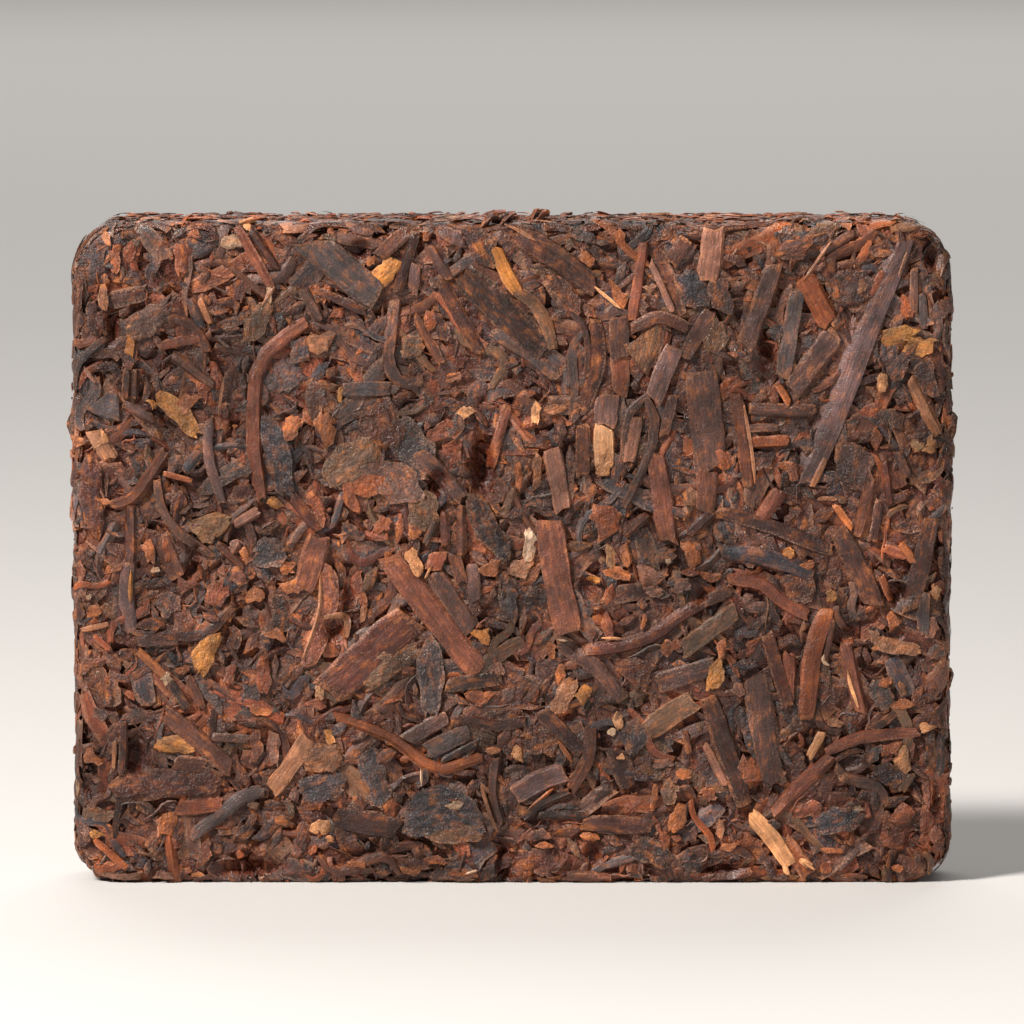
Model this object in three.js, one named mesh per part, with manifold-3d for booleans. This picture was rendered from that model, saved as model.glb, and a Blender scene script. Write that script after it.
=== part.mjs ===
// A pressed brick of pu erh tea: stems, split stalks and leaves, pressed hard in a mould.
// Millimetres, +Z up. The brick stands on its long edge, with its shown face towards -Y.
// It is one solid: a rounded core with the larger pieces of tea fused on at true size.

import * as THREE from 'three';
import Module from 'manifold-3d';
import { mergeVertices } from 'three/addons/utils/BufferGeometryUtils.js';

const wasm = await Module();
wasm.setup();

// The mould that the tea was pressed in
const WIDTH = 100;
const HEIGHT = 75.5;
const THICKNESS = 13.6;
const CORNER_RADIUS = 6.5;
const EDGE_RADIUS = 2.6;
// The mould reaches this far below the floor, so that the cut there leaves a wide flat base
const BASE_CUT = 0.8;

// The core lies this far under the mould's walls, and the pieces fill the difference
const CORE_INSET = 1.1;

// The pieces of tea
const TOP_FULLNESS = 0.82;
const FOOT_FULLNESS = 1.15;
const PIECE_SINK = 0.85;
const MOULD_UNEVENNESS = 0.3;
const SMALLEST_DETAIL = 0.05;
const SEED = 4173;

const TEA_COLOUR = '#67473b';

/** Random numbers from 0 to 1 that are the same on every run. */
function seededRandom(seed) {
  let state = seed;
  return () => {
    state = (state + 0x6d2b79f5) | 0;
    let mixed = Math.imul(state ^ (state >>> 15), 1 | state);
    mixed = (mixed + Math.imul(mixed ^ (mixed >>> 7), 61 | mixed)) ^ mixed;
    return ((mixed ^ (mixed >>> 14)) >>> 0) / 4294967296;
  };
}

const random = seededRandom(SEED);
const between = (low, high) => low + (high - low) * random();

/** Distance from a point to the mould's wall: negative inside, positive outside. */
function mouldDistance(point) {
  const besideX = Math.abs(point.x) - WIDTH / 2 + CORNER_RADIUS;
  const middleZ = (HEIGHT - BASE_CUT) / 2;
  const besideZ = Math.abs(point.z - middleZ) - (HEIGHT + BASE_CUT) / 2 + CORNER_RADIUS;
  const outline = Math.hypot(Math.max(besideX, 0), Math.max(besideZ, 0))
    + Math.min(Math.max(besideX, besideZ), 0) - CORNER_RADIUS;
  const acrossOutline = outline + EDGE_RADIUS;
  const acrossFace = Math.abs(point.y) - THICKNESS / 2 + EDGE_RADIUS;
  return Math.hypot(Math.max(acrossOutline, 0), Math.max(acrossFace, 0))
    + Math.min(Math.max(acrossOutline, acrossFace), 0) - EDGE_RADIUS;
}

/** Direction away from the mould's inside at a point. */
function mouldNormal(point) {
  const step = 0.05;
  const slope = (axis) => {
    const ahead = point.clone();
    const behind = point.clone();
    ahead[axis] += step;
    behind[axis] -= step;
    return mouldDistance(ahead) - mouldDistance(behind);
  };
  return new THREE.Vector3(slope('x'), slope('y'), slope('z')).normalize();
}

/** How far the tea stands past the mould's wall, as the pressed face is slightly uneven. */
function unevenness(point) {
  const broad = Math.sin(point.x * 0.23 + 1.3) * Math.sin(point.z * 0.29 + point.y * 0.4);
  const fine = Math.sin(point.x * 0.71 - point.z * 0.53 + 0.6);
  return MOULD_UNEVENNESS * (0.7 * broad + 0.3 * fine);
}

/** The mould pushes each corner of a geometry back to its wall, or a little proud of it. */
function press(geometry, proud) {
  const position = geometry.attributes.position;
  const point = new THREE.Vector3();
  for (let index = 0; index < position.count; index += 1) {
    point.fromBufferAttribute(position, index);
    const excess = mouldDistance(point) - unevenness(point) - proud;
    if (excess > 0) {
      point.addScaledVector(mouldNormal(point), -excess);
    }
    position.setXYZ(index, point.x, point.y, point.z);
  }
}

/** Each side of the brick: u runs across it, v up or along it, and h away from it. */
function sideOfBrick(uAxis, vAxis, outward, middle) {
  const basis = new THREE.Matrix4().makeBasis(uAxis, vAxis, outward);
  return basis.setPosition(middle);
}

const X = new THREE.Vector3(1, 0, 0);
const Y = new THREE.Vector3(0, 1, 0);
const Z = new THREE.Vector3(0, 0, 1);
const front = sideOfBrick(X, Z, Y.clone().negate(), new THREE.Vector3(0, -THICKNESS / 2, 0));
const back = sideOfBrick(X.clone().negate(), Z, Y, new THREE.Vector3(0, THICKNESS / 2, 0));
const top = sideOfBrick(X, Y, Z, new THREE.Vector3(0, 0, HEIGHT));
const right = sideOfBrick(Y, Z, X, new THREE.Vector3(WIDTH / 2, 0, 0));
const left = sideOfBrick(Y.clone().negate(), Z, X.clone().negate(), new THREE.Vector3(-WIDTH / 2, 0, 0));

/** A geometry with each corner held once, so that the solid closes. */
function welded(geometry) {
  const bare = geometry.clone();
  bare.deleteAttribute('normal');
  bare.deleteAttribute('uv');
  return mergeVertices(bare, 1e-4);
}

/** A geometry as a closed solid that can be joined and cut. */
function solidOf(geometry) {
  const closed = welded(geometry);
  const mesh = new wasm.Mesh({
    numProp: 3,
    vertProperties: new Float32Array(closed.attributes.position.array),
    triVerts: new Uint32Array(closed.index.array),
  });
  return new wasm.Manifold(mesh);
}

/** A piece of tea: a four-sided strip, led along a bent line of [u, v] points on one side. */
function pieceOfTea(side, line, width, { thickness = 1, tips = 0.8, twist = 0, proud = 0.15 } = {}) {
  const steps = line.length - 1;
  const radius = Math.SQRT2;
  const geometry = new THREE.CylinderGeometry(radius, radius, steps, 4, steps, false, Math.PI / 4);
  const position = geometry.attributes.position;
  const stations = line.map(([u, v]) => new THREE.Vector2(u, v));
  for (let index = 0; index < position.count; index += 1) {
    // On the blank strip X is the level, from foot to top, Y the way along, and Z the way across
    const level = position.getX(index);
    const station = Math.round(position.getY(index) + steps / 2);
    const before = stations[Math.max(station - 1, 0)];
    const after = stations[Math.min(station + 1, steps)];
    const direction = after.clone().sub(before).normalize();
    const isTip = station === 0 || station === steps;
    const fullness = level > 0 ? TOP_FULLNESS : FOOT_FULLNESS;
    const across = 0.5 * width * position.getZ(index) * fullness * (isTip ? tips : 1);
    const lean = level > 0 ? twist * (station / steps - 0.5) * position.getZ(index) : 0;
    position.setXYZ(
      index,
      stations[station].x - direction.y * across,
      stations[station].y + direction.x * across,
      level * thickness + lean - PIECE_SINK,
    );
  }
  geometry.applyMatrix4(side);
  press(geometry, proud);
  return geometry;
}

/** The core: a rounded block whose base is the flat that the brick rests on. */
function teaCore() {
  const halfWidth = WIDTH / 2 - CORE_INSET - EDGE_RADIUS;
  const topEdge = HEIGHT - CORE_INSET - EDGE_RADIUS;
  const bottomEdge = EDGE_RADIUS - BASE_CUT;
  const radius = CORNER_RADIUS - EDGE_RADIUS;
  const quarter = Math.PI / 2;
  const outline = new THREE.Shape();
  outline.absarc(halfWidth - radius, bottomEdge + radius, radius, -quarter, 0);
  outline.absarc(halfWidth - radius, topEdge - radius, radius, 0, quarter);
  outline.absarc(radius - halfWidth, topEdge - radius, radius, quarter, 2 * quarter);
  outline.absarc(radius - halfWidth, bottomEdge + radius, radius, 2 * quarter, 3 * quarter);
  outline.closePath();
  const coreThickness = THICKNESS - 2 * CORE_INSET;
  const geometry = new THREE.ExtrudeGeometry(outline, {
    depth: coreThickness - 2 * EDGE_RADIUS,
    bevelThickness: EDGE_RADIUS,
    bevelSize: EDGE_RADIUS,
    bevelSegments: 3,
    curveSegments: 5,
  });
  geometry.translate(0, 0, EDGE_RADIUS - coreThickness / 2);
  geometry.rotateX(Math.PI / 2);
  return geometry;
}

/** The largest pieces of the shown face, each [line of [x, z] points, width]. */
const LARGE_PIECES = [
  // Thick split stalks, left to right
  [[[-21.9, 39.4], [-23.7, 33.4]], 2.7],
  [[[-20.7, 21.8], [-16.2, 26], [-11.6, 30]], 4.2],
  [[[-13.8, 37], [-9, 30.6], [-4, 24.3]], 3.1],
  [[[-8.7, 35], [-4.8, 29]], 2.4],
  [[[4.4, 41], [5.2, 35], [6.4, 28.8]], 3.4],
  [[[21.6, 58.2], [22.6, 47.3]], 3.8],
  [[[16.3, 49], [17.8, 39]], 2.6],
  [[[-23, 73], [-15.2, 66.8]], 3.3],
  [[[23, 74.7], [22.3, 68.5]], 2.8],
  [[[10.4, 54.8], [10.3, 46.8]], 2.8],
  [[[37.2, 40.4], [39.2, 36.6], [41, 32.4]], 2.7],
  [[[36.6, 62.6], [31.7, 56.1]], 2.4],
  [[[29.8, 70.4], [26.6, 61.1]], 2],
  [[[27.8, 23.2], [29.6, 11.1]], 2.9],
  [[[19.5, 26.6], [25.3, 30.8]], 2.3],
  [[[16.7, 22.5], [23, 24.6]], 2.2],
  [[[-20, 7.2], [-13.2, 6]], 3],
  [[[15.5, 17.2], [21, 20.9]], 2.7],
  [[[8, 6.5], [16, 6.3]], 2.1],
  // Long stems
  [[[44, 72.8], [38.6, 59], [36.2, 52], [33, 45.6]], 2.7],
  [[[-23.3, 63.9], [-28.2, 59.6], [-29.3, 52], [-28.4, 43.8]], 1.8],
  [[[24, 37.4], [29, 36.8], [34, 35.1]], 2.5],
  [[[25, 34.6], [29.6, 33.4], [33.4, 30.7]], 2.4],
  [[[35.8, 31], [34.2, 26], [33.6, 18.8]], 2.4],
  [[[38, 27.5], [39.5, 19.6]], 2],
  [[[30, 7.8], [35.5, 13.3], [39.6, 16.4], [47, 17.5]], 2.4],
  [[[8.5, 26.5], [15.4, 28], [21.6, 32]], 1.9],
  [[[-20, 18.8], [-13, 16], [-7.4, 12.8], [-3.6, 14.3]], 1.6],
  [[[-28.4, 10.1], [-31, 9.4], [-36.5, 5.2]], 1.8],
  [[[-43.4, 43], [-43.5, 28.7]], 2],
  [[[-42.4, 27.7], [-35.2, 28], [-32, 30.8]], 1.6],
  [[[12.2, 52.8], [14.6, 55.4], [16, 51.6], [12.2, 42.6]], 1.2],
  [[[-13.2, 66.3], [-13.9, 59.4], [-10.4, 57.2]], 1.6],
  [[[-1.5, 72.7], [1.4, 67], [4.5, 61]], 1.3],
  [[[23.4, 42.4], [36.4, 38]], 1.9],
  [[[27.4, 7.5], [31.6, 1.6]], 2.2],
  [[[5, 27.5], [12.6, 20.9]], 1.9],
  [[[-23.3, 16], [-27.4, 10.6]], 2.3],
  [[[47.2, 41.5], [45.6, 31]], 2.2],
  // Broad leaves and flakes
  [[[-27.6, 53.4], [-26, 44.3]], 3.4],
  [[[-13.4, 53.4], [-13.8, 43.8]], 7.2],
  [[[-5.5, 69.3], [3.6, 60.7]], 3.6],
  [[[0.2, 74.2], [8.4, 68.6]], 3.8],
  [[[-44.8, 10.2], [-33.6, 11.3]], 3.1],
  [[[-11.6, 7.2], [-4, 8]], 5.4],
  [[[-20.9, 35.8], [-21, 31], [-22.9, 25.2]], 2.4],
  [[[-9.3, 27.4], [-9.4, 19.6]], 2.7],
  [[[-16.6, 22.6], [-11.2, 26.8]], 2.8],
  [[[-34.2, 28], [-35.4, 24.6]], 2.2],
  [[[-47.8, 48.4], [-47.6, 39.6]], 3.1],
  [[[42.2, 27], [46.2, 26.4]], 1.9],
];

/** Pieces that stand out past the mould's outline: side, line, width and how far. */
const STANDING_PROUD = [
  { side: top, line: [[-3.4, -2.2], [4, -1]], width: 3.4, proud: 0.9 },
  { side: top, line: [[-36.8, -3], [-34.4, 0.4]], width: 1.6, proud: 0.6 },
  { side: top, line: [[30.6, -2], [33.4, -0.4]], width: 1.8, proud: 0.5 },
  { side: left, line: [[0.5, 49], [-0.4, 53.6]], width: 1.8, proud: 0.6 },
  { side: right, line: [[-1, 49.6], [0.6, 53.8]], width: 1.8, proud: 0.6 },
];

/** Distance from a point to a line of points, all on one side of the brick. */
function distanceToLine(point, line) {
  const nearest = new THREE.Vector3();
  let least = Infinity;
  for (let index = 1; index < line.length; index += 1) {
    const start = new THREE.Vector3(...line[index - 1], 0);
    const end = new THREE.Vector3(...line[index], 0);
    new THREE.Line3(start, end).closestPointToPoint(point, true, nearest);
    least = Math.min(least, nearest.distanceTo(point));
  }
  return least;
}

/** Where smaller pieces go: one in each cell of an even grid, shifted a little at random. */
function evenlySpread({ uLow, uHigh, vLow, vHigh, columns, rows }) {
  const sites = [];
  const uStep = (uHigh - uLow) / columns;
  const vStep = (vHigh - vLow) / rows;
  for (let row = 0; row < rows; row += 1) {
    for (let column = 0; column < columns; column += 1) {
      const u = uLow + uStep * (column + 0.5 + between(-0.28, 0.28));
      const v = vLow + vStep * (row + 0.5 + between(-0.28, 0.28));
      sites.push([u, v]);
    }
  }
  return sites;
}

/** A stem, split stalk or leaf flake at a site, in the mix that the brick shows. */
function randomPiece(side, [u, v], longest) {
  const kind = random();
  const isLeaf = kind > 0.45;
  const isStalk = kind > 0.2 && !isLeaf;
  const length = Math.min(longest, isLeaf ? between(6, 9.5) : between(7, 12));
  const width = isLeaf ? between(4.4, 6.6) : isStalk ? between(2.6, 4) : between(1.7, 2.3);
  const angle = between(0, Math.PI);
  const bend = isLeaf ? 0.3 : between(-0.14, 0.14);
  const reach = new THREE.Vector2(length / 2, 0).rotateAround(new THREE.Vector2(), angle);
  const line = [
    [u - reach.x, v - reach.y],
    [u - reach.y * bend, v + reach.x * bend],
    [u + reach.x, v + reach.y],
  ];
  const options = {
    thickness: isLeaf ? 0.95 : 1.1,
    tips: isLeaf ? 0.45 : 0.8,
    twist: isLeaf ? between(-0.4, 0.4) : 0,
    proud: between(-0.55, 0.15),
  };
  return pieceOfTea(side, line, width, options);
}

const FACE_GRID = { uLow: -49, uHigh: 49, vLow: 1.5, vHigh: 74.5, columns: 11, rows: 9 };
const TOP_GRID = { uLow: -45, uHigh: 45, vLow: -5, vHigh: 5, columns: 13, rows: 2 };
const END_GRID = { uLow: -4.5, uHigh: 4.5, vLow: 5, vHigh: 71, columns: 2, rows: 9 };
const CLEAR_OF_LARGE = 1.8;

function allPieces() {
  const pieces = [];
  for (const [line, width] of LARGE_PIECES) {
    pieces.push(pieceOfTea(front, line, width, { tips: 0.85 }));
  }
  for (const { side, line, width, proud } of STANDING_PROUD) {
    pieces.push(pieceOfTea(side, line, width, { thickness: 1.1 + proud, proud }));
  }
  for (const site of evenlySpread(FACE_GRID)) {
    const point = new THREE.Vector3(...site, 0);
    const clear = LARGE_PIECES.every(
      ([line, width]) => distanceToLine(point, line) > width / 2 + CLEAR_OF_LARGE,
    );
    if (clear) {
      pieces.push(randomPiece(front, site, 8));
    }
  }
  for (const site of evenlySpread(FACE_GRID)) {
    pieces.push(randomPiece(back, site, 12));
  }
  for (const site of evenlySpread(TOP_GRID)) {
    pieces.push(randomPiece(top, site, 9));
  }
  for (const side of [left, right]) {
    for (const site of evenlySpread(END_GRID)) {
      pieces.push(randomPiece(side, site, 9));
    }
  }
  return pieces;
}

/** Core and pieces fused, with the base cut flat. */
function fusedBrick() {
  let brick = solidOf(teaCore());
  for (const piece of allPieces()) {
    brick = brick.add(solidOf(piece));
  }
  const belowFloor = new THREE.BoxGeometry(2 * WIDTH, 2 * WIDTH, 20).translate(0, 0, -10);
  return brick.subtract(solidOf(belowFloor)).simplify(SMALLEST_DETAIL);
}

/** The triangles of the largest closed shell: a hollow that fusing sealed is filled by this. */
function outerShell(triangles, vertexCount) {
  const shellOf = Array.from({ length: vertexCount }, (_, index) => index);
  const find = (index) => {
    let root = index;
    while (shellOf[root] !== root) {
      shellOf[root] = shellOf[shellOf[root]];
      root = shellOf[root];
    }
    return root;
  };
  for (let index = 0; index < triangles.length; index += 3) {
    const root = find(triangles[index]);
    shellOf[find(triangles[index + 1])] = root;
    shellOf[find(triangles[index + 2])] = root;
  }
  const shells = new Map();
  for (let index = 0; index < triangles.length; index += 3) {
    const root = find(triangles[index]);
    if (!shells.has(root)) {
      shells.set(root, []);
    }
    shells.get(root).push(...triangles.slice(index, index + 3));
  }
  return [...shells.values()].sort((one, other) => other.length - one.length)[0];
}

/** A joined solid as a three.js geometry, with its origin in the middle of its base. */
function geometryOf(solid) {
  const mesh = solid.getMesh();
  const geometry = new THREE.BufferGeometry();
  geometry.setAttribute('position', new THREE.BufferAttribute(mesh.vertProperties, 3));
  geometry.setIndex(outerShell(mesh.triVerts, mesh.vertProperties.length / 3));
  geometry.computeBoundingBox();
  const middle = geometry.boundingBox.getCenter(new THREE.Vector3());
  geometry.translate(-middle.x, -middle.y, 0);
  geometry.computeVertexNormals();
  return geometry;
}

const pressedTea = new THREE.MeshStandardMaterial({
  color: TEA_COLOUR,
  roughness: 0.8,
  metalness: 0,
});

const brick = new THREE.Mesh(geometryOf(fusedBrick()), pressedTea);
brick.name = 'tea_brick';

const group = new THREE.Group();
group.add(brick);

export default group;
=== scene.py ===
# %% [markdown]
# # A pressed brick of pu erh tea
#
# The real brick is a handful of dark fermented tea, steamed and pressed hard in a mould. Its
# face is a mosaic of stems, split stalks and curled leaves, all flattened to one level, with
# dark gaps between them. This lesson builds it the same way: a core, thousands of pieces of
# tea laid on it, and a mould that pushes everything back to its walls.

# %% Load the frame
import math
from dataclasses import dataclass

import bmesh
import bpy
import numpy as np
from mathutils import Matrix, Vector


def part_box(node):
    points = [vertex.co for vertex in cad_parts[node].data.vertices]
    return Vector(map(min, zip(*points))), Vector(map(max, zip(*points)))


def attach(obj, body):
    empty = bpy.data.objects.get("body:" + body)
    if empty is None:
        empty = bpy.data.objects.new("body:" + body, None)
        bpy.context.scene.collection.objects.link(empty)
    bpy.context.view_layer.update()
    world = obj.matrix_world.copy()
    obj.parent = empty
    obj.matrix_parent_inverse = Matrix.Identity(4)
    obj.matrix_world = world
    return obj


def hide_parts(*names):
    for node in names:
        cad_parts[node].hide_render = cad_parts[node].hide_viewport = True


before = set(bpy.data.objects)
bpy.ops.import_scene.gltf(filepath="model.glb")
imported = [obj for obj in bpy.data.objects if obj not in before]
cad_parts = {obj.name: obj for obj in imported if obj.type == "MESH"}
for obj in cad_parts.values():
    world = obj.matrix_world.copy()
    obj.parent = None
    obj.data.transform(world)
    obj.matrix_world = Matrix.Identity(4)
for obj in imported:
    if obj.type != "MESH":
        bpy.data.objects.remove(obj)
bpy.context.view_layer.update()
BODY = "root"
BRICK_NODE = "tea_brick"

# The pieces are worked out in millimetres, and a mesh is made in metres
MM = 0.001
random = np.random.default_rng(1953)

low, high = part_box(BRICK_NODE)
frame_size = np.array(high - low) / MM
print("the frame's brick in mm:", frame_size.round(2))

# %% [markdown]
# ## The mould
#
# The brick has rounded corners of 6.5 mm and rounded edges of 2.6 mm. A distance formula
# describes such a box in a few lines: it is negative inside and positive outside. A modelled
# box could be used with a Shrinkwrap modifier, but the formula is faster for thousands of
# pieces and it also tells how hard each spot was pressed.

# %% The mould's walls
# The frame's box also holds the loosest pieces, which stand this far past the mould's walls
LOOSE_SIDES = 0.77
LOOSE_FACES = 0.27
LOOSE_TOP = 1.09
CORNER_RADIUS = 6.5
EDGE_RADIUS = 2.6
# The mould reaches below the floor, and the tea is squashed flat there
BASE_CUT = 0.8
FLOOR_GAP = 0.02

WIDTH = frame_size[0] - 2 * LOOSE_SIDES
THICKNESS = frame_size[1] - 2 * LOOSE_FACES
HEIGHT = frame_size[2] - LOOSE_TOP


def mould_distance(points):
    """Distance in mm from each point to the mould's wall: negative inside, positive outside."""
    beside_x = np.abs(points[..., 0]) - WIDTH / 2 + CORNER_RADIUS
    middle_z = (HEIGHT - BASE_CUT) / 2
    beside_z = np.abs(points[..., 2] - middle_z) - (HEIGHT + BASE_CUT) / 2 + CORNER_RADIUS
    outline = np.hypot(beside_x.clip(0), beside_z.clip(0))
    outline += np.maximum(beside_x, beside_z).clip(max=0) - CORNER_RADIUS
    past_outline = outline + EDGE_RADIUS
    past_face = np.abs(points[..., 1]) - THICKNESS / 2 + EDGE_RADIUS
    corner = np.hypot(past_outline.clip(0), past_face.clip(0))
    return corner + np.maximum(past_outline, past_face).clip(max=0) - EDGE_RADIUS


def mould_normal(points, step=0.05):
    """Direction away from the mould's inside at each point."""
    slopes = []
    for axis in range(3):
        shift = np.zeros(3)
        shift[axis] = step
        slopes.append(mould_distance(points + shift) - mould_distance(points - shift))
    normal = np.stack(slopes, axis=-1)
    return normal / np.linalg.norm(normal, axis=-1, keepdims=True).clip(1e-9)


print("mould in mm:", round(WIDTH, 1), round(THICKNESS, 1), round(HEIGHT, 1))

# %% [markdown]
# ## How uneven the pressed face is
#
# A real pressed face isn't a plane: it swells and dips by a few tenths of a millimetre, and in
# places a piece has broken out and left a dark hole. Sums of sine waves give the swell, and a
# short list of pits gives the holes that the front shows.

# %% Swell and pits
SWELL_HEIGHT = 0.34
BROAD_SWELL = 24
NEAR_SWELL = 7
# Each pit: place across and up on the front, half its width and half its height, in mm
PITS = [
    (-3.3, 47.5, 1.2, 3.2), (-17.1, 72.3, 1.0, 1.1), (47.9, 71.2, 1.1, 1.3),
    (-42.8, 14.3, 0.9, 2.3), (-11.6, 11.2, 0.9, 0.9), (9.4, 3.0, 0.7, 1.6),
    (-0.9, 2.0, 0.75, 3.0), (-48.4, 11.0, 0.8, 1.0), (28.4, 10.3, 1.4, 0.8),
    (7.7, 26.8, 1.1, 0.6), (-20.2, 28.6, 1.1, 1.2), (8.7, 34.0, 0.9, 0.9),
    (-36.0, 37.0, 0.5, 2.0), (43.8, 28.3, 0.7, 0.7), (44.0, 33.0, 1.0, 1.2),
    (-30.2, 1.4, 3.6, 0.9), (24.0, 1.2, 2.4, 0.7), (48.7, 8.8, 0.6, 2.0),
    (-18.6, 32.0, 0.6, 2.0), (21.5, 33.0, 0.8, 1.2), (38.0, 28.2, 1.2, 0.7),
    (-45.4, 63.5, 0.5, 2.4), (29.0, 59.5, 0.8, 2.6), (-8.3, 45.6, 1.0, 1.6),
]
# A wider pit is deeper
PIT_STEEPNESS = 1.2
# Places are read off the front at the outline's scale, and the face is nearer to the camera
FACE_SCALE = 0.9955
FACE_SHIFT = 0.28


def waves(points, length, seed, count=5):
    """A smooth random field from -1 to 1 whose swells are about as long as length, in mm."""
    picks = np.random.default_rng(seed)
    total = np.zeros(points.shape[:-1])
    for _ in range(count):
        direction = picks.normal(size=3)
        direction *= 2 * math.pi / (length * picks.uniform(0.7, 1.5) * np.linalg.norm(direction))
        total += np.sin(points @ direction + picks.uniform(0, 2 * math.pi))
    return total / math.sqrt(2 * count)


def wall_level(points):
    """How far the pressed tea stands past the mould's wall at each point, in mm."""
    swell = 0.6 * waves(points, BROAD_SWELL, 1) + 0.4 * waves(points, NEAR_SWELL, 2)
    level = SWELL_HEIGHT * swell
    on_front = points[..., 1] < 0
    for across, up, half_width, half_height in PITS:
        far = ((points[..., 0] - across * FACE_SCALE) / half_width) ** 2
        far += ((points[..., 2] - up * FACE_SCALE - FACE_SHIFT) / half_height) ** 2
        deep = PIT_STEEPNESS * math.sqrt(half_width * half_height)
        level -= deep * on_front * np.exp(-far**2)
    return level


def press(points, proud, share):
    """Pushes points back to the wall, and gives how far each moved and how deep it lies.

    A share under 1 leaves a little of a piece's own relief, as a real press does.
    """
    pushed = np.zeros(points.shape[:-1])
    for _ in range(2):
        excess = (mould_distance(points) - wall_level(points) - proud).clip(0) * share
        points = points - mould_normal(points) * excess[..., None]
        pushed += excess
    depth = -mould_distance(points)
    points[..., 2] = points[..., 2].clip(FLOOR_GAP)
    return points, pushed, depth


# %% [markdown]
# ## The six sides
#
# A piece is laid flat on one side of the brick, by a place across it, a place along it and a
# height above it. Each side has its own three directions, so one rule lays pieces anywhere,
# and the mould then bends those that reach round an edge.

# %% Directions of each side
FRONT, BACK, TOP, BASE, LEFT, RIGHT = range(6)
X_AXIS, Y_AXIS, Z_AXIS = np.eye(3)
SIDE_AXES = np.array([
    (X_AXIS, Z_AXIS, -Y_AXIS),
    (-X_AXIS, Z_AXIS, Y_AXIS),
    (X_AXIS, Y_AXIS, Z_AXIS),
    (X_AXIS, -Y_AXIS, -Z_AXIS),
    (-Y_AXIS, Z_AXIS, -X_AXIS),
    (Y_AXIS, Z_AXIS, X_AXIS),
])
SIDE_MIDDLES = np.array([
    -Y_AXIS * THICKNESS / 2,
    Y_AXIS * THICKNESS / 2,
    Z_AXIS * HEIGHT,
    Z_AXIS * 0,
    -X_AXIS * WIDTH / 2,
    X_AXIS * WIDTH / 2,
])
# Each side's reach: lowest and highest place across it, then along it
HALF_WIDTH = WIDTH / 2 - 0.5
HALF_THICKNESS = THICKNESS / 2 - 0.3
SIDE_REACH = {
    FRONT: (-HALF_WIDTH, HALF_WIDTH, 0.4, HEIGHT - 0.4),
    BACK: (-HALF_WIDTH, HALF_WIDTH, 0.4, HEIGHT - 0.4),
    TOP: (-HALF_WIDTH + 3, HALF_WIDTH - 3, -HALF_THICKNESS, HALF_THICKNESS),
    BASE: (-HALF_WIDTH + 3, HALF_WIDTH - 3, -HALF_THICKNESS, HALF_THICKNESS),
    LEFT: (-HALF_THICKNESS, HALF_THICKNESS, 2, HEIGHT - 2),
    RIGHT: (-HALF_THICKNESS, HALF_THICKNESS, 2, HEIGHT - 2),
}

# %% [markdown]
# ## Master pieces
#
# Each kind of piece is modelled once, as by hand: a filled circle is stood up, its corners are
# shaped in edit mode, and it is extruded step by step into a strip one unit long. The copies
# are bent, tapered and pressed later, so a master stays plain and has few faces.


# %% Helpers for modelling a master
@dataclass
class Master:
    """A master piece: where each corner lies along, across and up, and the triangles."""
    along: np.ndarray
    across: np.ndarray
    up: np.ndarray
    corner: np.ndarray
    corner_count: int
    triangles: np.ndarray


def start_alone():
    """Leaves edit mode and deselects everything, so that an operator acts on one piece only."""
    if bpy.context.object and bpy.context.object.mode != "OBJECT":
        bpy.ops.object.mode_set(mode="OBJECT")
    bpy.ops.object.select_all(action="DESELECT")


def select_where(test):
    """In edit mode, selects the corners of the active mesh whose place passes the test."""
    bpy.ops.mesh.select_mode(type="VERT")
    bpy.ops.mesh.select_all(action="DESELECT")
    mesh = bmesh.from_edit_mesh(bpy.context.object.data)
    for vertex in mesh.verts:
        vertex.select_set(bool(test(vertex.co)))
    mesh.select_flush_mode()
    bmesh.update_edit_mesh(bpy.context.object.data)


def read_master(corner_count):
    """Takes the active mesh's corners and triangles as arrays, and removes the object."""
    bpy.ops.mesh.select_all(action="SELECT")
    bpy.ops.mesh.normals_make_consistent(inside=False)
    bpy.ops.mesh.quads_convert_to_tris()
    bpy.ops.object.mode_set(mode="OBJECT")
    model = bpy.context.object
    places = np.array([vertex.co for vertex in model.data.vertices])
    triangles = np.array([face.vertices for face in model.data.polygons])
    bpy.data.objects.remove(model)
    if corner_count:
        turn = np.arctan2(places[:, 2], places[:, 1]) / (2 * math.pi) * corner_count
        corner = np.rint(turn).astype(int) % corner_count
    else:
        corner = np.arange(len(places))
        corner_count = len(places)
    low_end = places[:, 0].min()
    length = np.ptp(places[:, 0])
    return Master(
        (places[:, 0] - low_end) / length, places[:, 1], places[:, 2],
        corner, corner_count, triangles,
    )


# %% [markdown]
# A strip starts as a circle that faces along X. A stem keeps it round with every other corner
# drawn in, like the ribs of a dried stem. A split stalk has a flat top with a furrow. A leaf is
# the same strip, which its copies make thin.


# %% Strips: stem, split stalk and leaf
def strip_master(corner_count, steps, shape=None):
    """A strip one unit long: a circle of few corners, shaped and then extruded."""
    start_alone()
    bpy.ops.mesh.primitive_circle_add(
        vertices=corner_count, radius=1, fill_type="NGON", rotation=(0, math.pi / 2, 0)
    )
    bpy.ops.object.transform_apply(rotation=True)
    bpy.ops.object.mode_set(mode="EDIT")
    if shape:
        shape()
    bpy.ops.mesh.select_all(action="SELECT")
    for _ in range(steps):
        bpy.ops.mesh.extrude_region_move(
            TRANSFORM_OT_translate={"value": (1 / steps, 0, 0)}
        )
    return read_master(corner_count)


def draw_in_every_other_corner():
    """The ribs of a dried stem."""
    def in_furrow(place):
        turn = math.atan2(place.z, place.y) / (2 * math.pi) * 12
        return round(turn) % 2 == 1
    select_where(in_furrow)
    bpy.ops.transform.resize(value=(1, 0.84, 0.84))


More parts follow.
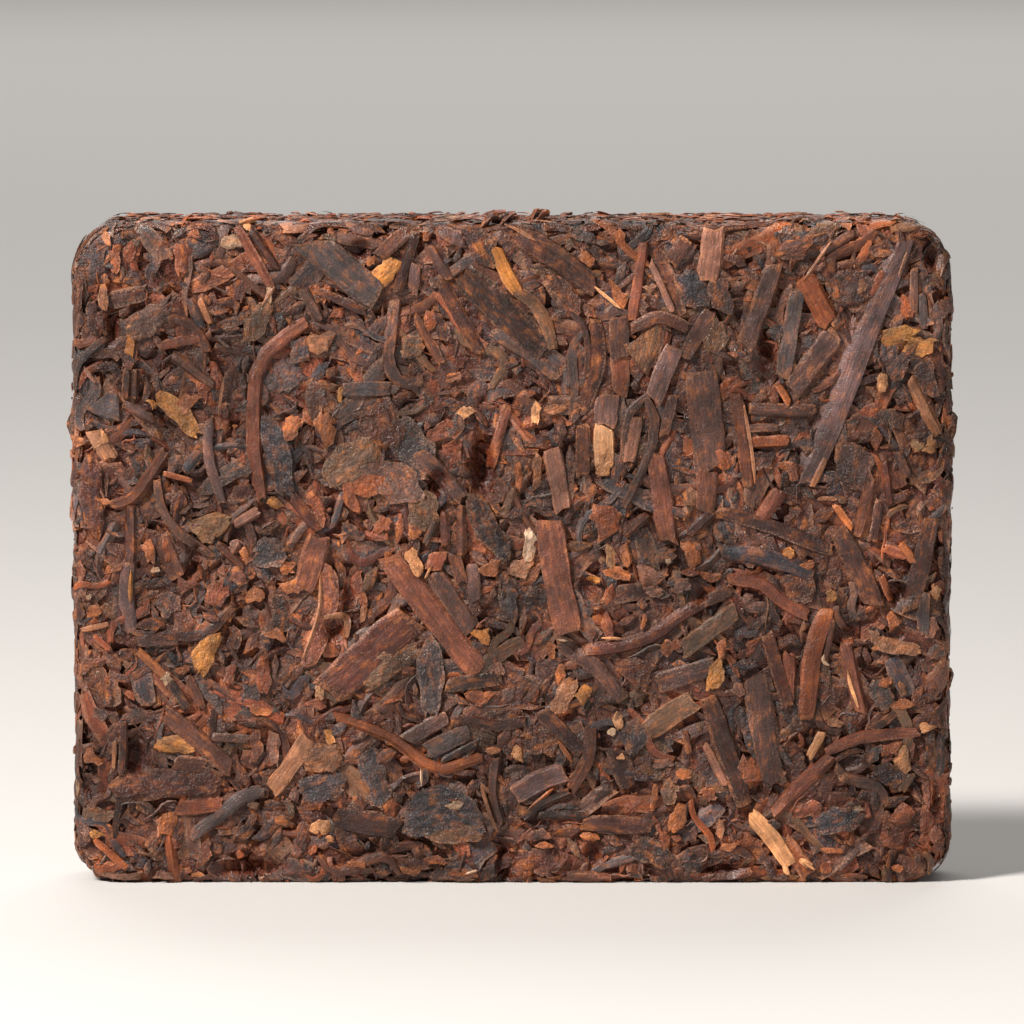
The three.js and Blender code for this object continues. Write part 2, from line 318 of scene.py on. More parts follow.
def flatten_and_furrow():
    """The flat split face of a stalk, with a furrow along its middle."""
    select_where(lambda place: abs(place.z) > 0.6)
    bpy.ops.transform.resize(value=(1, 1.5, 0.8))
    select_where(lambda place: place.z > 0.5 and abs(place.y) < 0.3)
    bpy.ops.transform.translate(value=(0, 0, -0.22))


fine_stem = strip_master(12, 16, draw_in_every_other_corner)
fine_stalk = strip_master(12, 14, flatten_and_furrow)
fine_leaf = strip_master(12, 12)
stem = strip_master(7, 7)
stalk = strip_master(8, 6, flatten_and_furrow)
leaf = strip_master(8, 6)
fibre = strip_master(4, 5)
print("triangles of a stem, stalk and leaf:", *[len(m.triangles) for m in (stem, stalk, leaf)])

# %% [markdown]
# The smallest bits are broken, not grown. A chip is a cube with its corners cut off, and a
# crumb is a rough ball.


# %% Chips and crumbs
def chip_master():
    """A broken chip: a cube whose corners are cut away by slanted planes."""
    start_alone()
    bpy.ops.mesh.primitive_cube_add(size=2)
    bpy.ops.object.mode_set(mode="EDIT")
    cuts = [(1, 1, 0.3), (-1, 0.8, -0.2), (0.7, -1, 0.2), (-0.8, -1, 0.4)]
    for cut in cuts:
        bpy.ops.mesh.select_all(action="SELECT")
        bpy.ops.mesh.bisect(
            plane_co=(cut[0] * 0.66, cut[1] * 0.66, 0), plane_no=cut,
            use_fill=True, clear_outer=True,
        )
    return read_master(0)


def crumb_master():
    """A crumb: a ball of twenty faces."""
    start_alone()
    bpy.ops.mesh.primitive_ico_sphere_add(subdivisions=1, radius=1)
    bpy.ops.object.mode_set(mode="EDIT")
    bpy.ops.mesh.select_all(action="SELECT")
    return read_master(0)


chip = chip_master()
crumb = crumb_master()
print("triangles of a chip and a crumb:", len(chip.triangles), len(crumb.triangles))

# %% [markdown]
# ## The tones of the tea
#
# Fermented tea is dark brown, but each piece has its own tone: blue-black leaves, purple-grey
# stems, brick-red stalks, and a few orange or golden tips and pale broken ends. The blue-grey
# of the dark leaves is partly their own tone and partly a painted sheen of the sky. The tones are
# written as they look in daylight, and turned into the linear numbers that a shader needs.


# %% Tones
def linear(red, green, blue):
    """A daylight colour from 0 to 255, as the linear numbers of a shader."""
    share = np.array([red, green, blue]) / 255
    return np.where(share < 0.04045, share / 12.92, ((share + 0.055) / 1.055) ** 2.4)


TONES = {
    "black": linear(42, 26, 21),
    # The blue and slate tones are partly the leaves' own tone and partly a painted sheen of the sky
    "blue": linear(54, 50, 54),
    "slate": linear(74, 63, 62),
    "purple": linear(81, 54, 47),
    "plum": linear(106, 78, 74),
    "grey": linear(91, 62, 52),
    "dark": linear(58, 30, 23),
    "maroon": linear(81, 38, 27),
    "brown": linear(89, 50, 36),
    "red": linear(132, 67, 43),
    "brick": linear(124, 69, 51),
    "olive": linear(102, 73, 53),
    "straw": linear(166, 121, 83),
    "fawn": linear(142, 92, 62),
    "tan": linear(162, 108, 76),
    "pink": linear(152, 104, 86),
    "orange": linear(174, 98, 53),
    "rust": linear(146, 74, 38),
    "gold": linear(196, 127, 60),
    "pale": linear(228, 160, 108),
    "white": linear(222, 180, 146),
}

# %% [markdown]
# ## How one piece is described
#
# A piece needs a side to lie on, a path to follow, a width, a thickness and a tone, and a few
# numbers for how it bends. The path is given by a few places set by hand, or by a rule, and a
# smooth curve is led through them.

# %% A piece and its path
PATH_POINTS = 9


def smooth_path(places):
    """Evenly spaced points on a smooth curve through a few places."""
    knots = np.array(places, float)
    padded = np.vstack([2 * knots[0] - knots[1], knots, 2 * knots[-1] - knots[-2]])
    t = np.linspace(0, 1, 12, endpoint=False)[:, None]
    bends = []
    for start in range(len(knots) - 1):
        p0, p1, p2, p3 = padded[start:start + 4]
        square = 2 * p0 - 5 * p1 + 4 * p2 - p3
        cube = 3 * p1 - p0 - 3 * p2 + p3
        bends.append(0.5 * (2 * p1 + (p2 - p0) * t + square * t**2 + cube * t**3))
    curve = np.vstack([*bends, knots[-1:]])
    steps = np.linalg.norm(np.diff(curve, axis=0), axis=1)
    reach = np.concatenate([[0], np.cumsum(steps)])
    even = np.linspace(0, reach[-1], PATH_POINTS)
    return np.column_stack([np.interp(even, reach, curve[:, axis]) for axis in (0, 1)])


@dataclass
class Piece:
    """One piece of tea, in mm and radians."""
    side: int
    path: np.ndarray
    width: float
    thickness: float
    tone: np.ndarray
    proud: float = 0.1
    dip: tuple = (0.0, 0.0)
    pointed: float = 0.1
    ridged: float = 0.12
    jag: float = 0.3
    roll: float = 0.0
    twist: float = 0.0
    curl: float = 0.0
    crumple: float = 0.0
    slant: tuple = (0.0, 0.0)
    fresh: float = 0.2
    squeeze: float = 0.2
    flattened: float = 0.86


# %% [markdown]
# ## Laying copies of a master
#
# All copies of one master are worked out together as arrays, which is far quicker than one
# object for each. Every copy is led along its path, given its own ribs, torn ends, twist and
# curl, turned to its side of the brick, and pressed. The copies also carry marks for the
# shader: the way of their fibres, their tone, how deep each spot is, for dust and painted
# shade, and how worn it is, for wear and a painted highlight on the edges.


# %% Copies of one master
# A piece keeps most of its width to near its tips, and its edges wave as they run along it
TAPER_REACH = 0.985
TAPER_POWER = 2.6
EDGE_WAVES = 7
FINE_EDGE_WAVES = 17
# A slant and a tear reach only a little way in from an end; wear keeps to tips and edges, and the
# edges also get a painted highlight
SLANT_POWER = 4
TORN_POWER = 8
WORN_TIP_POWER = 6
EDGE_WEAR_AND_HIGHLIGHT_POWER = 3
# How long the folds of a crumpled piece are, in mm
LONG_FOLDS = 2.6
SHORT_FOLDS = 1.1


def column(pieces, name):
    """One number of every piece, one under another."""
    return np.array([getattr(piece, name) for piece in pieces], float)[:, None]


def along_path(values, along):
    """Values given at the path's points, read between them at each corner of the master."""
    position = along * (PATH_POINTS - 1)
    index = np.clip(position.astype(int), 0, PATH_POINTS - 2)
    part = (position - index)[None, :, None]
    return values[:, index] * (1 - part) + values[:, index + 1] * part


def lay(master, pieces):
    """Corners, triangles and shader marks of all the copies of one master."""
    count = len(pieces)
    path = np.stack([piece.path for piece in pieces])
    width, thickness = column(pieces, "width"), column(pieces, "thickness")
    dips = np.array([piece.dip for piece in pieces])
    ends = np.linspace(0, 1, PATH_POINTS)
    sag = dips[:, :1] * (1 - ends) ** 2 + dips[:, 1:] * ends**2
    centre = along_path(np.dstack([path, sag]), master.along)
    heading = along_path(np.gradient(path, axis=1), master.along)
    heading /= np.linalg.norm(heading, axis=-1, keepdims=True).clip(1e-9)
    sideways = np.stack([-heading[..., 1], heading[..., 0]], axis=-1)

    # The piece's own section: ribs along it, wavy edges, and a taper towards its tips
    from_middle = np.abs(2 * master.along - 1)[None, :]
    taper = (1 - (TAPER_REACH * from_middle) ** TAPER_POWER) ** column(pieces, "pointed")
    ribs = random.normal(1, 1, (count, master.corner_count))[:, master.corner] - 1
    ribs = 1 + ribs * column(pieces, "ridged")
    phase = random.uniform(0, 2 * math.pi, (count, 2))[:, (master.across > 0).astype(int)]
    waviness = 0.8 * column(pieces, "ridged")
    wavy_edge = 1 + waviness * np.sin(EDGE_WAVES * master.along + phase)
    wavy_edge += waviness / 2 * np.sin(FINE_EDGE_WAVES * master.along + phase)
    across = master.across * ribs * wavy_edge * taper * width / 2
    up = master.up * ribs * (0.4 + 0.6 * taper) * thickness / 2
    angle = column(pieces, "roll") + column(pieces, "twist") * (master.along - 0.5)
    turned = across * np.cos(angle) - up * np.sin(angle)
    lifted = across * np.sin(angle) + up * np.cos(angle)
    lifted += column(pieces, "curl") * across**2 / width.clip(0.1)

    # Torn and slanted ends
    slants = np.array([piece.slant for piece in pieces])
    slanted = slants[:, :1] * (1 - master.along) ** SLANT_POWER
    slanted = slanted + slants[:, 1:] * master.along**SLANT_POWER
    torn = random.uniform(-1, 1, (count, len(master.along))) * from_middle**TORN_POWER
    cut = torn * column(pieces, "jag") + slanted * across
    places = centre[..., :2] + sideways * turned[..., None] + heading * cut[..., None]
    level = column(pieces, "proud") - thickness / 2 + column(pieces, "squeeze")
    height = level - centre[..., 2] + lifted
    seeds = random.uniform(0, 900, (count, 1))
    folded = np.dstack([places, np.broadcast_to(seeds, height.shape)])
    folds = waves(folded, LONG_FOLDS, 3) + 0.5 * waves(folded, SHORT_FOLDS, 4)
    height += column(pieces, "crumple") * folds

    side = np.array([piece.side for piece in pieces])
    axes = SIDE_AXES[side][:, None]
    points = SIDE_MIDDLES[side][:, None] + places[..., :1] * axes[:, :, 0]
    points = points + places[..., 1:] * axes[:, :, 1] + height[..., None] * axes[:, :, 2]
    points, pushed, depth = press(points, column(pieces, "proud"), column(pieces, "flattened"))

    length = np.linalg.norm(np.diff(path, axis=1), axis=-1).sum(axis=1)[:, None]
    grain = np.dstack([master.along * length, across, np.broadcast_to(seeds, across.shape)])
    # The edges of the outer side are worn paler, and also painted with a highlight
    edge = np.abs(master.across)[None, :] ** EDGE_WEAR_AND_HIGHLIGHT_POWER * (lifted > -thickness / 4)
    wear_and_highlight = np.dstack([from_middle**WORN_TIP_POWER * np.ones_like(edge), edge, pushed])
    tones = np.array([[*piece.tone, piece.fresh] for piece in pieces])[:, None]
    tones = np.broadcast_to(tones, (count, len(master.along), 4))
    offsets = np.arange(count)[:, None, None] * len(master.along)
    return {
        "points": points.reshape(-1, 3),
        "triangles": (master.triangles[None] + offsets).reshape(-1, 3),
        "grain": grain.reshape(-1, 3),
        "wear_and_highlight": wear_and_highlight.reshape(-1, 3),
        "depth": depth.reshape(-1),
        "tone": tones.reshape(-1, 4),
    }


# %% [markdown]
# ## One mesh for each kind
#
# The arrays of a kind go into one joined mesh. The marks are kept as attributes of its corners,
# because a texture on object coordinates could not follow the fibres of each piece.

# %% Joined meshes
SHARP_ANGLE = math.radians(42)


def joined_mesh(name, batches, material):
    """One object in the middle of the frame that holds all the pieces of one kind."""
    starts = np.cumsum([0] + [len(batch["points"]) for batch in batches[:-1]])
    points = np.vstack([batch["points"] for batch in batches]) * MM
    triangles = np.vstack([batch["triangles"] + s for batch, s in zip(batches, starts)])
    mesh = bpy.data.meshes.new(name)
    mesh.vertices.add(len(points))
    mesh.vertices.foreach_set("co", points.ravel())
    mesh.loops.add(triangles.size)
    mesh.loops.foreach_set("vertex_index", triangles.ravel())
    mesh.polygons.add(len(triangles))
    mesh.polygons.foreach_set("loop_start", np.arange(0, triangles.size, 3))
    mesh.update(calc_edges=True)
    marks = {"grain": ("FLOAT_VECTOR", "vector"), "wear_and_highlight": ("FLOAT_VECTOR", "vector"),
             "depth": ("FLOAT", "value"), "tone": ("FLOAT_COLOR", "color")}
    for mark, (kind, field) in marks.items():
        values = np.concatenate([batch[mark] for batch in batches])
        attribute = mesh.attributes.new(mark, kind, "POINT")
        attribute.data.foreach_set(field, values.astype(np.float32).ravel())
    mesh.materials.append(material)
    piece = bpy.data.objects.new(name, mesh)
    bpy.context.collection.objects.link(piece)
    start_alone()
    piece.select_set(True)
    bpy.context.view_layer.objects.active = piece
    bpy.ops.object.shade_smooth_by_angle(angle=SHARP_ANGLE)
    print(f"{name}: {len(triangles)} triangles")
    return piece


# %% [markdown]
# ## Shared shader effects
#
# Every piece of tea has fibres along it, blotches of other tones, dust and painted shade in
# the hollows, paler edges that are worn and painted with a highlight, and a dull polish where
# the mould pressed it. Each effect is a node group, built once, with named inputs and outputs,
# so that each material can use it with values of its own.


# %% Helpers for shader nodes
def add_node(tree, kind, values=None, **settings):
    """A node with its settings, and values for its inputs by name or place."""
    node = tree.nodes.new(kind)
    for setting, value in settings.items():
        setattr(node, setting, value)
    for socket, value in (values or {}).items():
        node.inputs[socket].default_value = value
    return node


def join(tree, source, node, socket):
    tree.links.new(source, node.inputs[socket])


def new_group(name, inputs, outputs):
    """An empty node group with its sockets: name to kind, or to a kind and a starting value."""
    group = bpy.data.node_groups.new(name, "ShaderNodeTree")
    for socket, (kind, value) in inputs.items():
        made = group.interface.new_socket(socket, in_out="INPUT", socket_type=kind)
        if value is not None:
            made.default_value = value
    for socket, kind in outputs.items():
        group.interface.new_socket(socket, in_out="OUTPUT", socket_type=kind)
    entry = group.nodes.new("NodeGroupInput")
    leave = group.nodes.new("NodeGroupOutput")
    return group, entry, leave


NUMBER, VECTOR, COLOUR = "NodeSocketFloat", "NodeSocketVector", "NodeSocketColor"


def math_node(tree, operation, first, second, clamp=False):
    """One operation on two numbers or sockets."""
    node = add_node(tree, "ShaderNodeMath", operation=operation, use_clamp=clamp)
    for place, value in enumerate((first, second)):
        if isinstance(value, bpy.types.NodeSocket):
            join(tree, value, node, place)
        else:
            node.inputs[place].default_value = value
    return node.outputs[0]


def spread_node(tree, value, low_in, high_in, low_out=0.0, high_out=1.0):
    """Maps a range of a mask to another range, smoothly."""
    limits = {"From Min": low_in, "From Max": high_in, "To Min": low_out, "To Max": high_out}
    node = add_node(tree, "ShaderNodeMapRange", limits, interpolation_type="SMOOTHSTEP")
    join(tree, value, node, "Value")
    return node.outputs["Result"]


def blend_node(tree, mask, first, second, way="MIX"):
    """Blends two colours, given as sockets or as numbers, by a mask or a plain share."""
    node = add_node(tree, "ShaderNodeMix", data_type="RGBA", blend_type=way, clamp_factor=True)
    for place, value in ((0, mask), (6, first), (7, second)):
        if isinstance(value, bpy.types.NodeSocket):
            join(tree, value, node, place)
        elif place:
            node.inputs[place].default_value = (*value, 1)
        else:
            node.inputs[place].default_value = value
    return node.outputs[2]


# %% [markdown]
# **Fibres.** Dried stems show fine lines along their length. A noise texture is stretched
# along each piece's own direction, which the grain mark gives in millimetres.


# %% Fibre group
def fibre_group():
    group, entry, leave = new_group(
        "tea fibres",
        {"Grain": (VECTOR, None), "Length": (NUMBER, 0.35), "Fineness": (NUMBER, 5.0)},
        {"Lines": NUMBER, "Stains": NUMBER, "Height": NUMBER},
    )
    split = add_node(group, "ShaderNodeSeparateXYZ")
    join(group, entry.outputs["Grain"], split, 0)
    lines_along = math_node(group, "MULTIPLY", split.outputs[0], entry.outputs["Length"])
    lines_across = math_node(group, "MULTIPLY", split.outputs[1], entry.outputs["Fineness"])
    stretched = add_node(group, "ShaderNodeCombineXYZ")
    for place, source in enumerate((lines_along, lines_across, split.outputs[2])):
        join(group, source, stretched, place)
    broad = add_node(group, "ShaderNodeTexNoise", {"Scale": 1.0, "Detail": 3.0, "Roughness": 0.6})
    join(group, stretched.outputs[0], broad, "Vector")
    join(group, spread_node(group, broad.outputs[0], 0.3, 0.7), leave, "Lines")
    stain = add_node(group, "ShaderNodeTexNoise", {"Scale": 0.75, "Detail": 4.0, "Roughness": 0.65})
    join(group, entry.outputs["Grain"], stain, "Vector")
    join(group, spread_node(group, stain.outputs[0], 0.36, 0.64), leave, "Stains")
    join(group, broad.outputs[0], leave, "Height")
    return group


fibres = fibre_group()

# %% [markdown]
# **Blotches.** Fermentation leaves patches of other tones, lighter and darker stretches, fine
# folds and a grain of crumbs on everything. Noise textures on object coordinates let a patch
# run over neighbouring pieces, as the dust on the real brick does, and one that follows the
# grain gives each piece veins.


# %% Blotch group
# The tones that fermentation leaves, from the darkest to the palest, and where each lies
BLOOM_TONES = {
    0.0: linear(44, 42, 46),
    0.3: linear(60, 44, 40),
    0.52: linear(90, 57, 44),
    0.74: linear(146, 77, 34),
    1.0: linear(206, 119, 48),
}
# How long the lighter and darker stretches and the fine folds are, in mm
BROAD_STRETCH = 11.0
NEAR_STRETCH = 3.6
FOLD_SIZE = 1.3


def noise_of_size(tree, vector, size, steps):
    """A noise texture whose swells are as long as a size in mm."""
    per_metre = math_node(tree, "DIVIDE", 1 / MM, size)
    noise = add_node(tree, "ShaderNodeTexNoise", {"Detail": steps, "Roughness": 0.62})
    join(tree, vector, noise, "Vector")
    join(tree, per_metre, noise, "Scale")
    return noise


def blotch_group():
    group, entry, leave = new_group(
        "tea blotches",
        {"Vector": (VECTOR, None), "Grain": (VECTOR, None), "Patch Size": (NUMBER, 2.4),
         "Grit Size": (NUMBER, 0.24)},
        {"Patches": NUMBER, "Grit": NUMBER, "Folds": NUMBER, "Shade": NUMBER, "Bloom": COLOUR},
    )
    place = entry.outputs["Vector"]
    patch = noise_of_size(group, place, entry.outputs["Patch Size"], 3.0)
    grit = noise_of_size(group, place, entry.outputs["Grit Size"], 2.0)
    join(group, spread_node(group, patch.outputs[0], 0.36, 0.66), leave, "Patches")
    join(group, spread_node(group, grit.outputs[0], 0.36, 0.66), leave, "Grit")
    broad = noise_of_size(group, place, BROAD_STRETCH, 2.0)
    near = noise_of_size(group, place, NEAR_STRETCH, 2.0)
    broad_shade = spread_node(group, broad.outputs[0], 0.34, 0.66, 0.62, 1.32)
    near_shade = spread_node(group, near.outputs[0], 0.34, 0.66, 0.73, 1.28)
    join(group, math_node(group, "MULTIPLY", broad_shade, near_shade), leave, "Shade")
    folds = noise_of_size(group, place, FOLD_SIZE, 5.0)
    join(group, folds.outputs[0], leave, "Folds")
    along_grain = add_node(group, "ShaderNodeVectorMath", operation="MULTIPLY")
    along_grain.inputs[1].default_value = (0.4, 1.0, 1.0)
    join(group, entry.outputs["Grain"], along_grain, 0)
    veins = add_node(group, "ShaderNodeTexNoise", {"Scale": 1.5, "Detail": 5.0, "Roughness": 0.62})
    join(group, along_grain.outputs[0], veins, "Vector")
    bloom = add_node(group, "ShaderNodeMix", {0: 0.6}, data_type="FLOAT")
    join(group, patch.outputs[0], bloom, 2)
    join(group, veins.outputs[0], bloom, 3)
    ramp = add_node(group, "ShaderNodeValToRGB")
    steps = ramp.color_ramp.elements
    steps.remove(steps[1])
    for position, tone in BLOOM_TONES.items():
        step = steps[0] if position == 0 else steps.new(position)
        step.position = 0.4 + 0.2 * position
        step.color = (*tone, 1)
    join(group, bloom.outputs[0], ramp, 0)
    join(group, ramp.outputs[0], leave, "Bloom")
    return group


blotches = blotch_group()

# %% [markdown]
# ** Wear and painted light.** Torn tips and broken edges show the paler inside of the stem, and
# the edges also carry a painted highlight; hollows hold dark dust with painted shade, and what
# the mould touched is smooth. The marks that each mesh carries are turned into masks here,
# broken up by the grit so that none has a clean border.


# %% Wear group
def wear_and_light_group():
    group, entry, leave = new_group(
        "tea wear and painted light",
        {"Wear And Highlight": (VECTOR, None), "Depth": (NUMBER, 0.0), "Grit": (NUMBER, 0.5)},
        {"Tips": NUMBER, "Edges": NUMBER, "Polish": NUMBER, "Dust And Shade": NUMBER},
    )
    split = add_node(group, "ShaderNodeSeparateXYZ")
    join(group, entry.outputs["Wear And Highlight"], split, 0)
    rough_half = math_node(group, "MULTIPLY_ADD", entry.outputs["Grit"], 0.7)
    rough_half.node.inputs[2].default_value = -0.35
    tips = math_node(group, "ADD", split.outputs[0], rough_half)
    edges = math_node(group, "ADD", split.outputs[1], rough_half)
    join(group, spread_node(group, tips, 0.45, 0.95), leave, "Tips")
    # Paler edges: wear, with a painted highlight
    join(group, spread_node(group, edges, 0.5, 1.15), leave, "Edges")
    join(group, spread_node(group, split.outputs[2], 0.02, 0.3), leave, "Polish")
    # Dust with painted shade, growing with the depth below the mould's wall
    sunk = math_node(group, "ADD", entry.outputs["Depth"], rough_half)
    join(group, spread_node(group, sunk, 0.22, 0.95), leave, "Dust And Shade")
    return group


wear_and_light = wear_and_light_group()
print("shared groups:", fibres.name, blotches.name, wear_and_light.name)

# %% [markdown]
# ## The materials
#
# Each kind of piece has its own material. All start from the tone of the piece, and differ in
# how strong their fibres are, how patchy, how glossy and how rough they are.

# %% One tea material
PATCH_TONE = linear(76, 61, 60)
FRESH_TONE = linear(196, 128, 80)
# Dark dust, which also paints the shade in the hollows
DUST_AND_SHADE_TONE = linear(78, 29, 12)
# Pale worn edges, which also paint a highlight
EDGE_WEAR_AND_HIGHLIGHT_TONE = linear(212, 162, 132)
# Strengths that are the same for every kind
LEAST_BLOOM = 0.4
DUST_AND_SHADE_STRENGTH = 0.8
GRIT_SHADE = 0.09
GRIT_RELIEF = 0.24
SMOOTHEST = 0.5
ROUGHEST = 0.74
GLOSS_SHARE = 0.6
POLISH = 0.14
SHINE = 0.38


def tea_material(name, lines, bloom, patches, edges, gloss, relief, folded, length, fineness):
    """Tea of one kind. The numbers say how strong each effect is, and relief is in mm."""
    material = bpy.data.materials.new(name)
    material.use_nodes = True
    tree = material.node_tree
    shader = tree.nodes["Principled BSDF"]
    marks = {}
    for mark in ("grain", "wear_and_highlight", "depth", "tone"):
        marks[mark] = add_node(tree, "ShaderNodeAttribute", attribute_name=mark)
    place = add_node(tree, "ShaderNodeTexCoord").outputs["Object"]

    thread = add_node(tree, "ShaderNodeGroup", node_tree=fibres)
    thread.inputs["Length"].default_value = length
    thread.inputs["Fineness"].default_value = fineness
    join(tree, marks["grain"].outputs["Vector"], thread, "Grain")
    blotch = add_node(tree, "ShaderNodeGroup", node_tree=blotches)
    join(tree, place, blotch, "Vector")
    join(tree, marks["grain"].outputs["Vector"], blotch, "Grain")
    use = add_node(tree, "ShaderNodeGroup", node_tree=wear_and_light)
    join(tree, marks["wear_and_highlight"].outputs["Vector"], use, "Wear And Highlight")
    join(tree, marks["depth"].outputs["Fac"], use, "Depth")
    join(tree, blotch.outputs["Grit"], use, "Grit")

    # Colour: the piece's own tone, then stains, bloom, torn tips, worn edges with a painted
    # highlight, and dust with painted shade over it
    colour = marks["tone"].outputs["Color"]
    stained = math_node(tree, "MULTIPLY", thread.outputs["Stains"], bloom)
    stained = math_node(tree, "ADD", stained, LEAST_BLOOM * bloom)
    colour = blend_node(tree, stained, colour, blotch.outputs["Bloom"])
    layers = [
        (blotch.outputs["Patches"], patches, PATCH_TONE),
        (use.outputs["Tips"], marks["tone"].outputs["Alpha"], FRESH_TONE),
        (use.outputs["Edges"], edges, EDGE_WEAR_AND_HIGHLIGHT_TONE),
        (use.outputs["Dust And Shade"], DUST_AND_SHADE_STRENGTH, DUST_AND_SHADE_TONE),
    ]
    for mask, strength, tone in layers:
        colour = blend_node(tree, math_node(tree, "MULTIPLY", mask, strength), colour, tone)
    shade = spread_node(tree, thread.outputs["Lines"], 0, 1, 1 - lines, 1 + 0.5 * lines)
    grit_shade = spread_node(tree, blotch.outputs["Grit"], 0, 1, 1 - GRIT_SHADE, 1 + GRIT_SHADE)
    scaled = add_node(tree, "ShaderNodeVectorMath", operation="SCALE")
    join(tree, colour, scaled, 0)
    shade = math_node(tree, "MULTIPLY", shade, grit_shade)
    join(tree, math_node(tree, "MULTIPLY", shade, blotch.outputs["Shade"]), scaled, "Scale")
    join(tree, scaled.outputs[0], shader, "Base Color")

    # Gloss: it changes with the stains, and is highest where the mould pressed
    glossy = GLOSS_SHARE * gloss
    rough = spread_node(tree, thread.outputs["Stains"], 0, 1, SMOOTHEST - glossy, ROUGHEST - glossy)
    smoothed = math_node(tree, "MULTIPLY", use.outputs["Polish"], POLISH)
    join(tree, math_node(tree, "SUBTRACT", rough, smoothed, clamp=True), shader, "Roughness")
    shader.inputs["Specular IOR Level"].default_value = SHINE

    # Relief: fine fibres and grit, and under them broader folds
    pitted = math_node(tree, "MULTIPLY", blotch.outputs["Grit"], GRIT_RELIEF)
    fine = add_node(tree, "ShaderNodeBump", {"Strength": 1.0, "Distance": relief * MM})
    join(tree, math_node(tree, "ADD", thread.outputs["Height"], pitted), fine, "Height")
    broad = add_node(tree, "ShaderNodeBump", {"Strength": 1.0, "Distance": folded * MM})
    join(tree, blotch.outputs["Folds"], broad, "Height")
    join(tree, fine.outputs[0], broad, "Normal")
    join(tree, broad.outputs[0], shader, "Normal")
    return material


# Each look: lines, bloom, patches, edges, gloss, relief, folds, and the fibres' length and fineness
LOOKS = {
    "dried stem": (0.24, 0.24, 0.16, 0.22, 0.36, 0.11, 0.25, 0.25, 3.6),
    "split stalk": (0.22, 0.25, 0.2, 0.22, 0.34, 0.09, 0.3, 0.3, 3.6),
    "curled leaf": (0.14, 0.34, 0.16, 0.2, 0.4, 0.11, 0.9, 0.9, 2.0),
    "broken chip": (0.24, 0.42, 0.16, 0.24, 0.3, 0.15, 0.6, 0.8, 3.2),
    "tea crumbs": (0.2, 0.5, 0.1, 0.2, 0.2, 0.1, 0.2, 1.5, 3.0),
    "pressed core": (0.2, 0.62, 0.1, 0.0, 0.25, 0.2, 1.0, 1.0, 1.6),
}
looks = {name: tea_material(name, *strengths) for name, strengths in LOOKS.items()}

# %% [markdown]
# ## The pieces that the front shows
#
# The larger pieces of the shown face are listed one by one, because its look depends on where the
# thick red stalks, long stems and golden tips lie. Each line of a list holds a tone, a width
# and the places that the piece passes through: across the brick from its middle, and up from
# its base, both in millimetres.

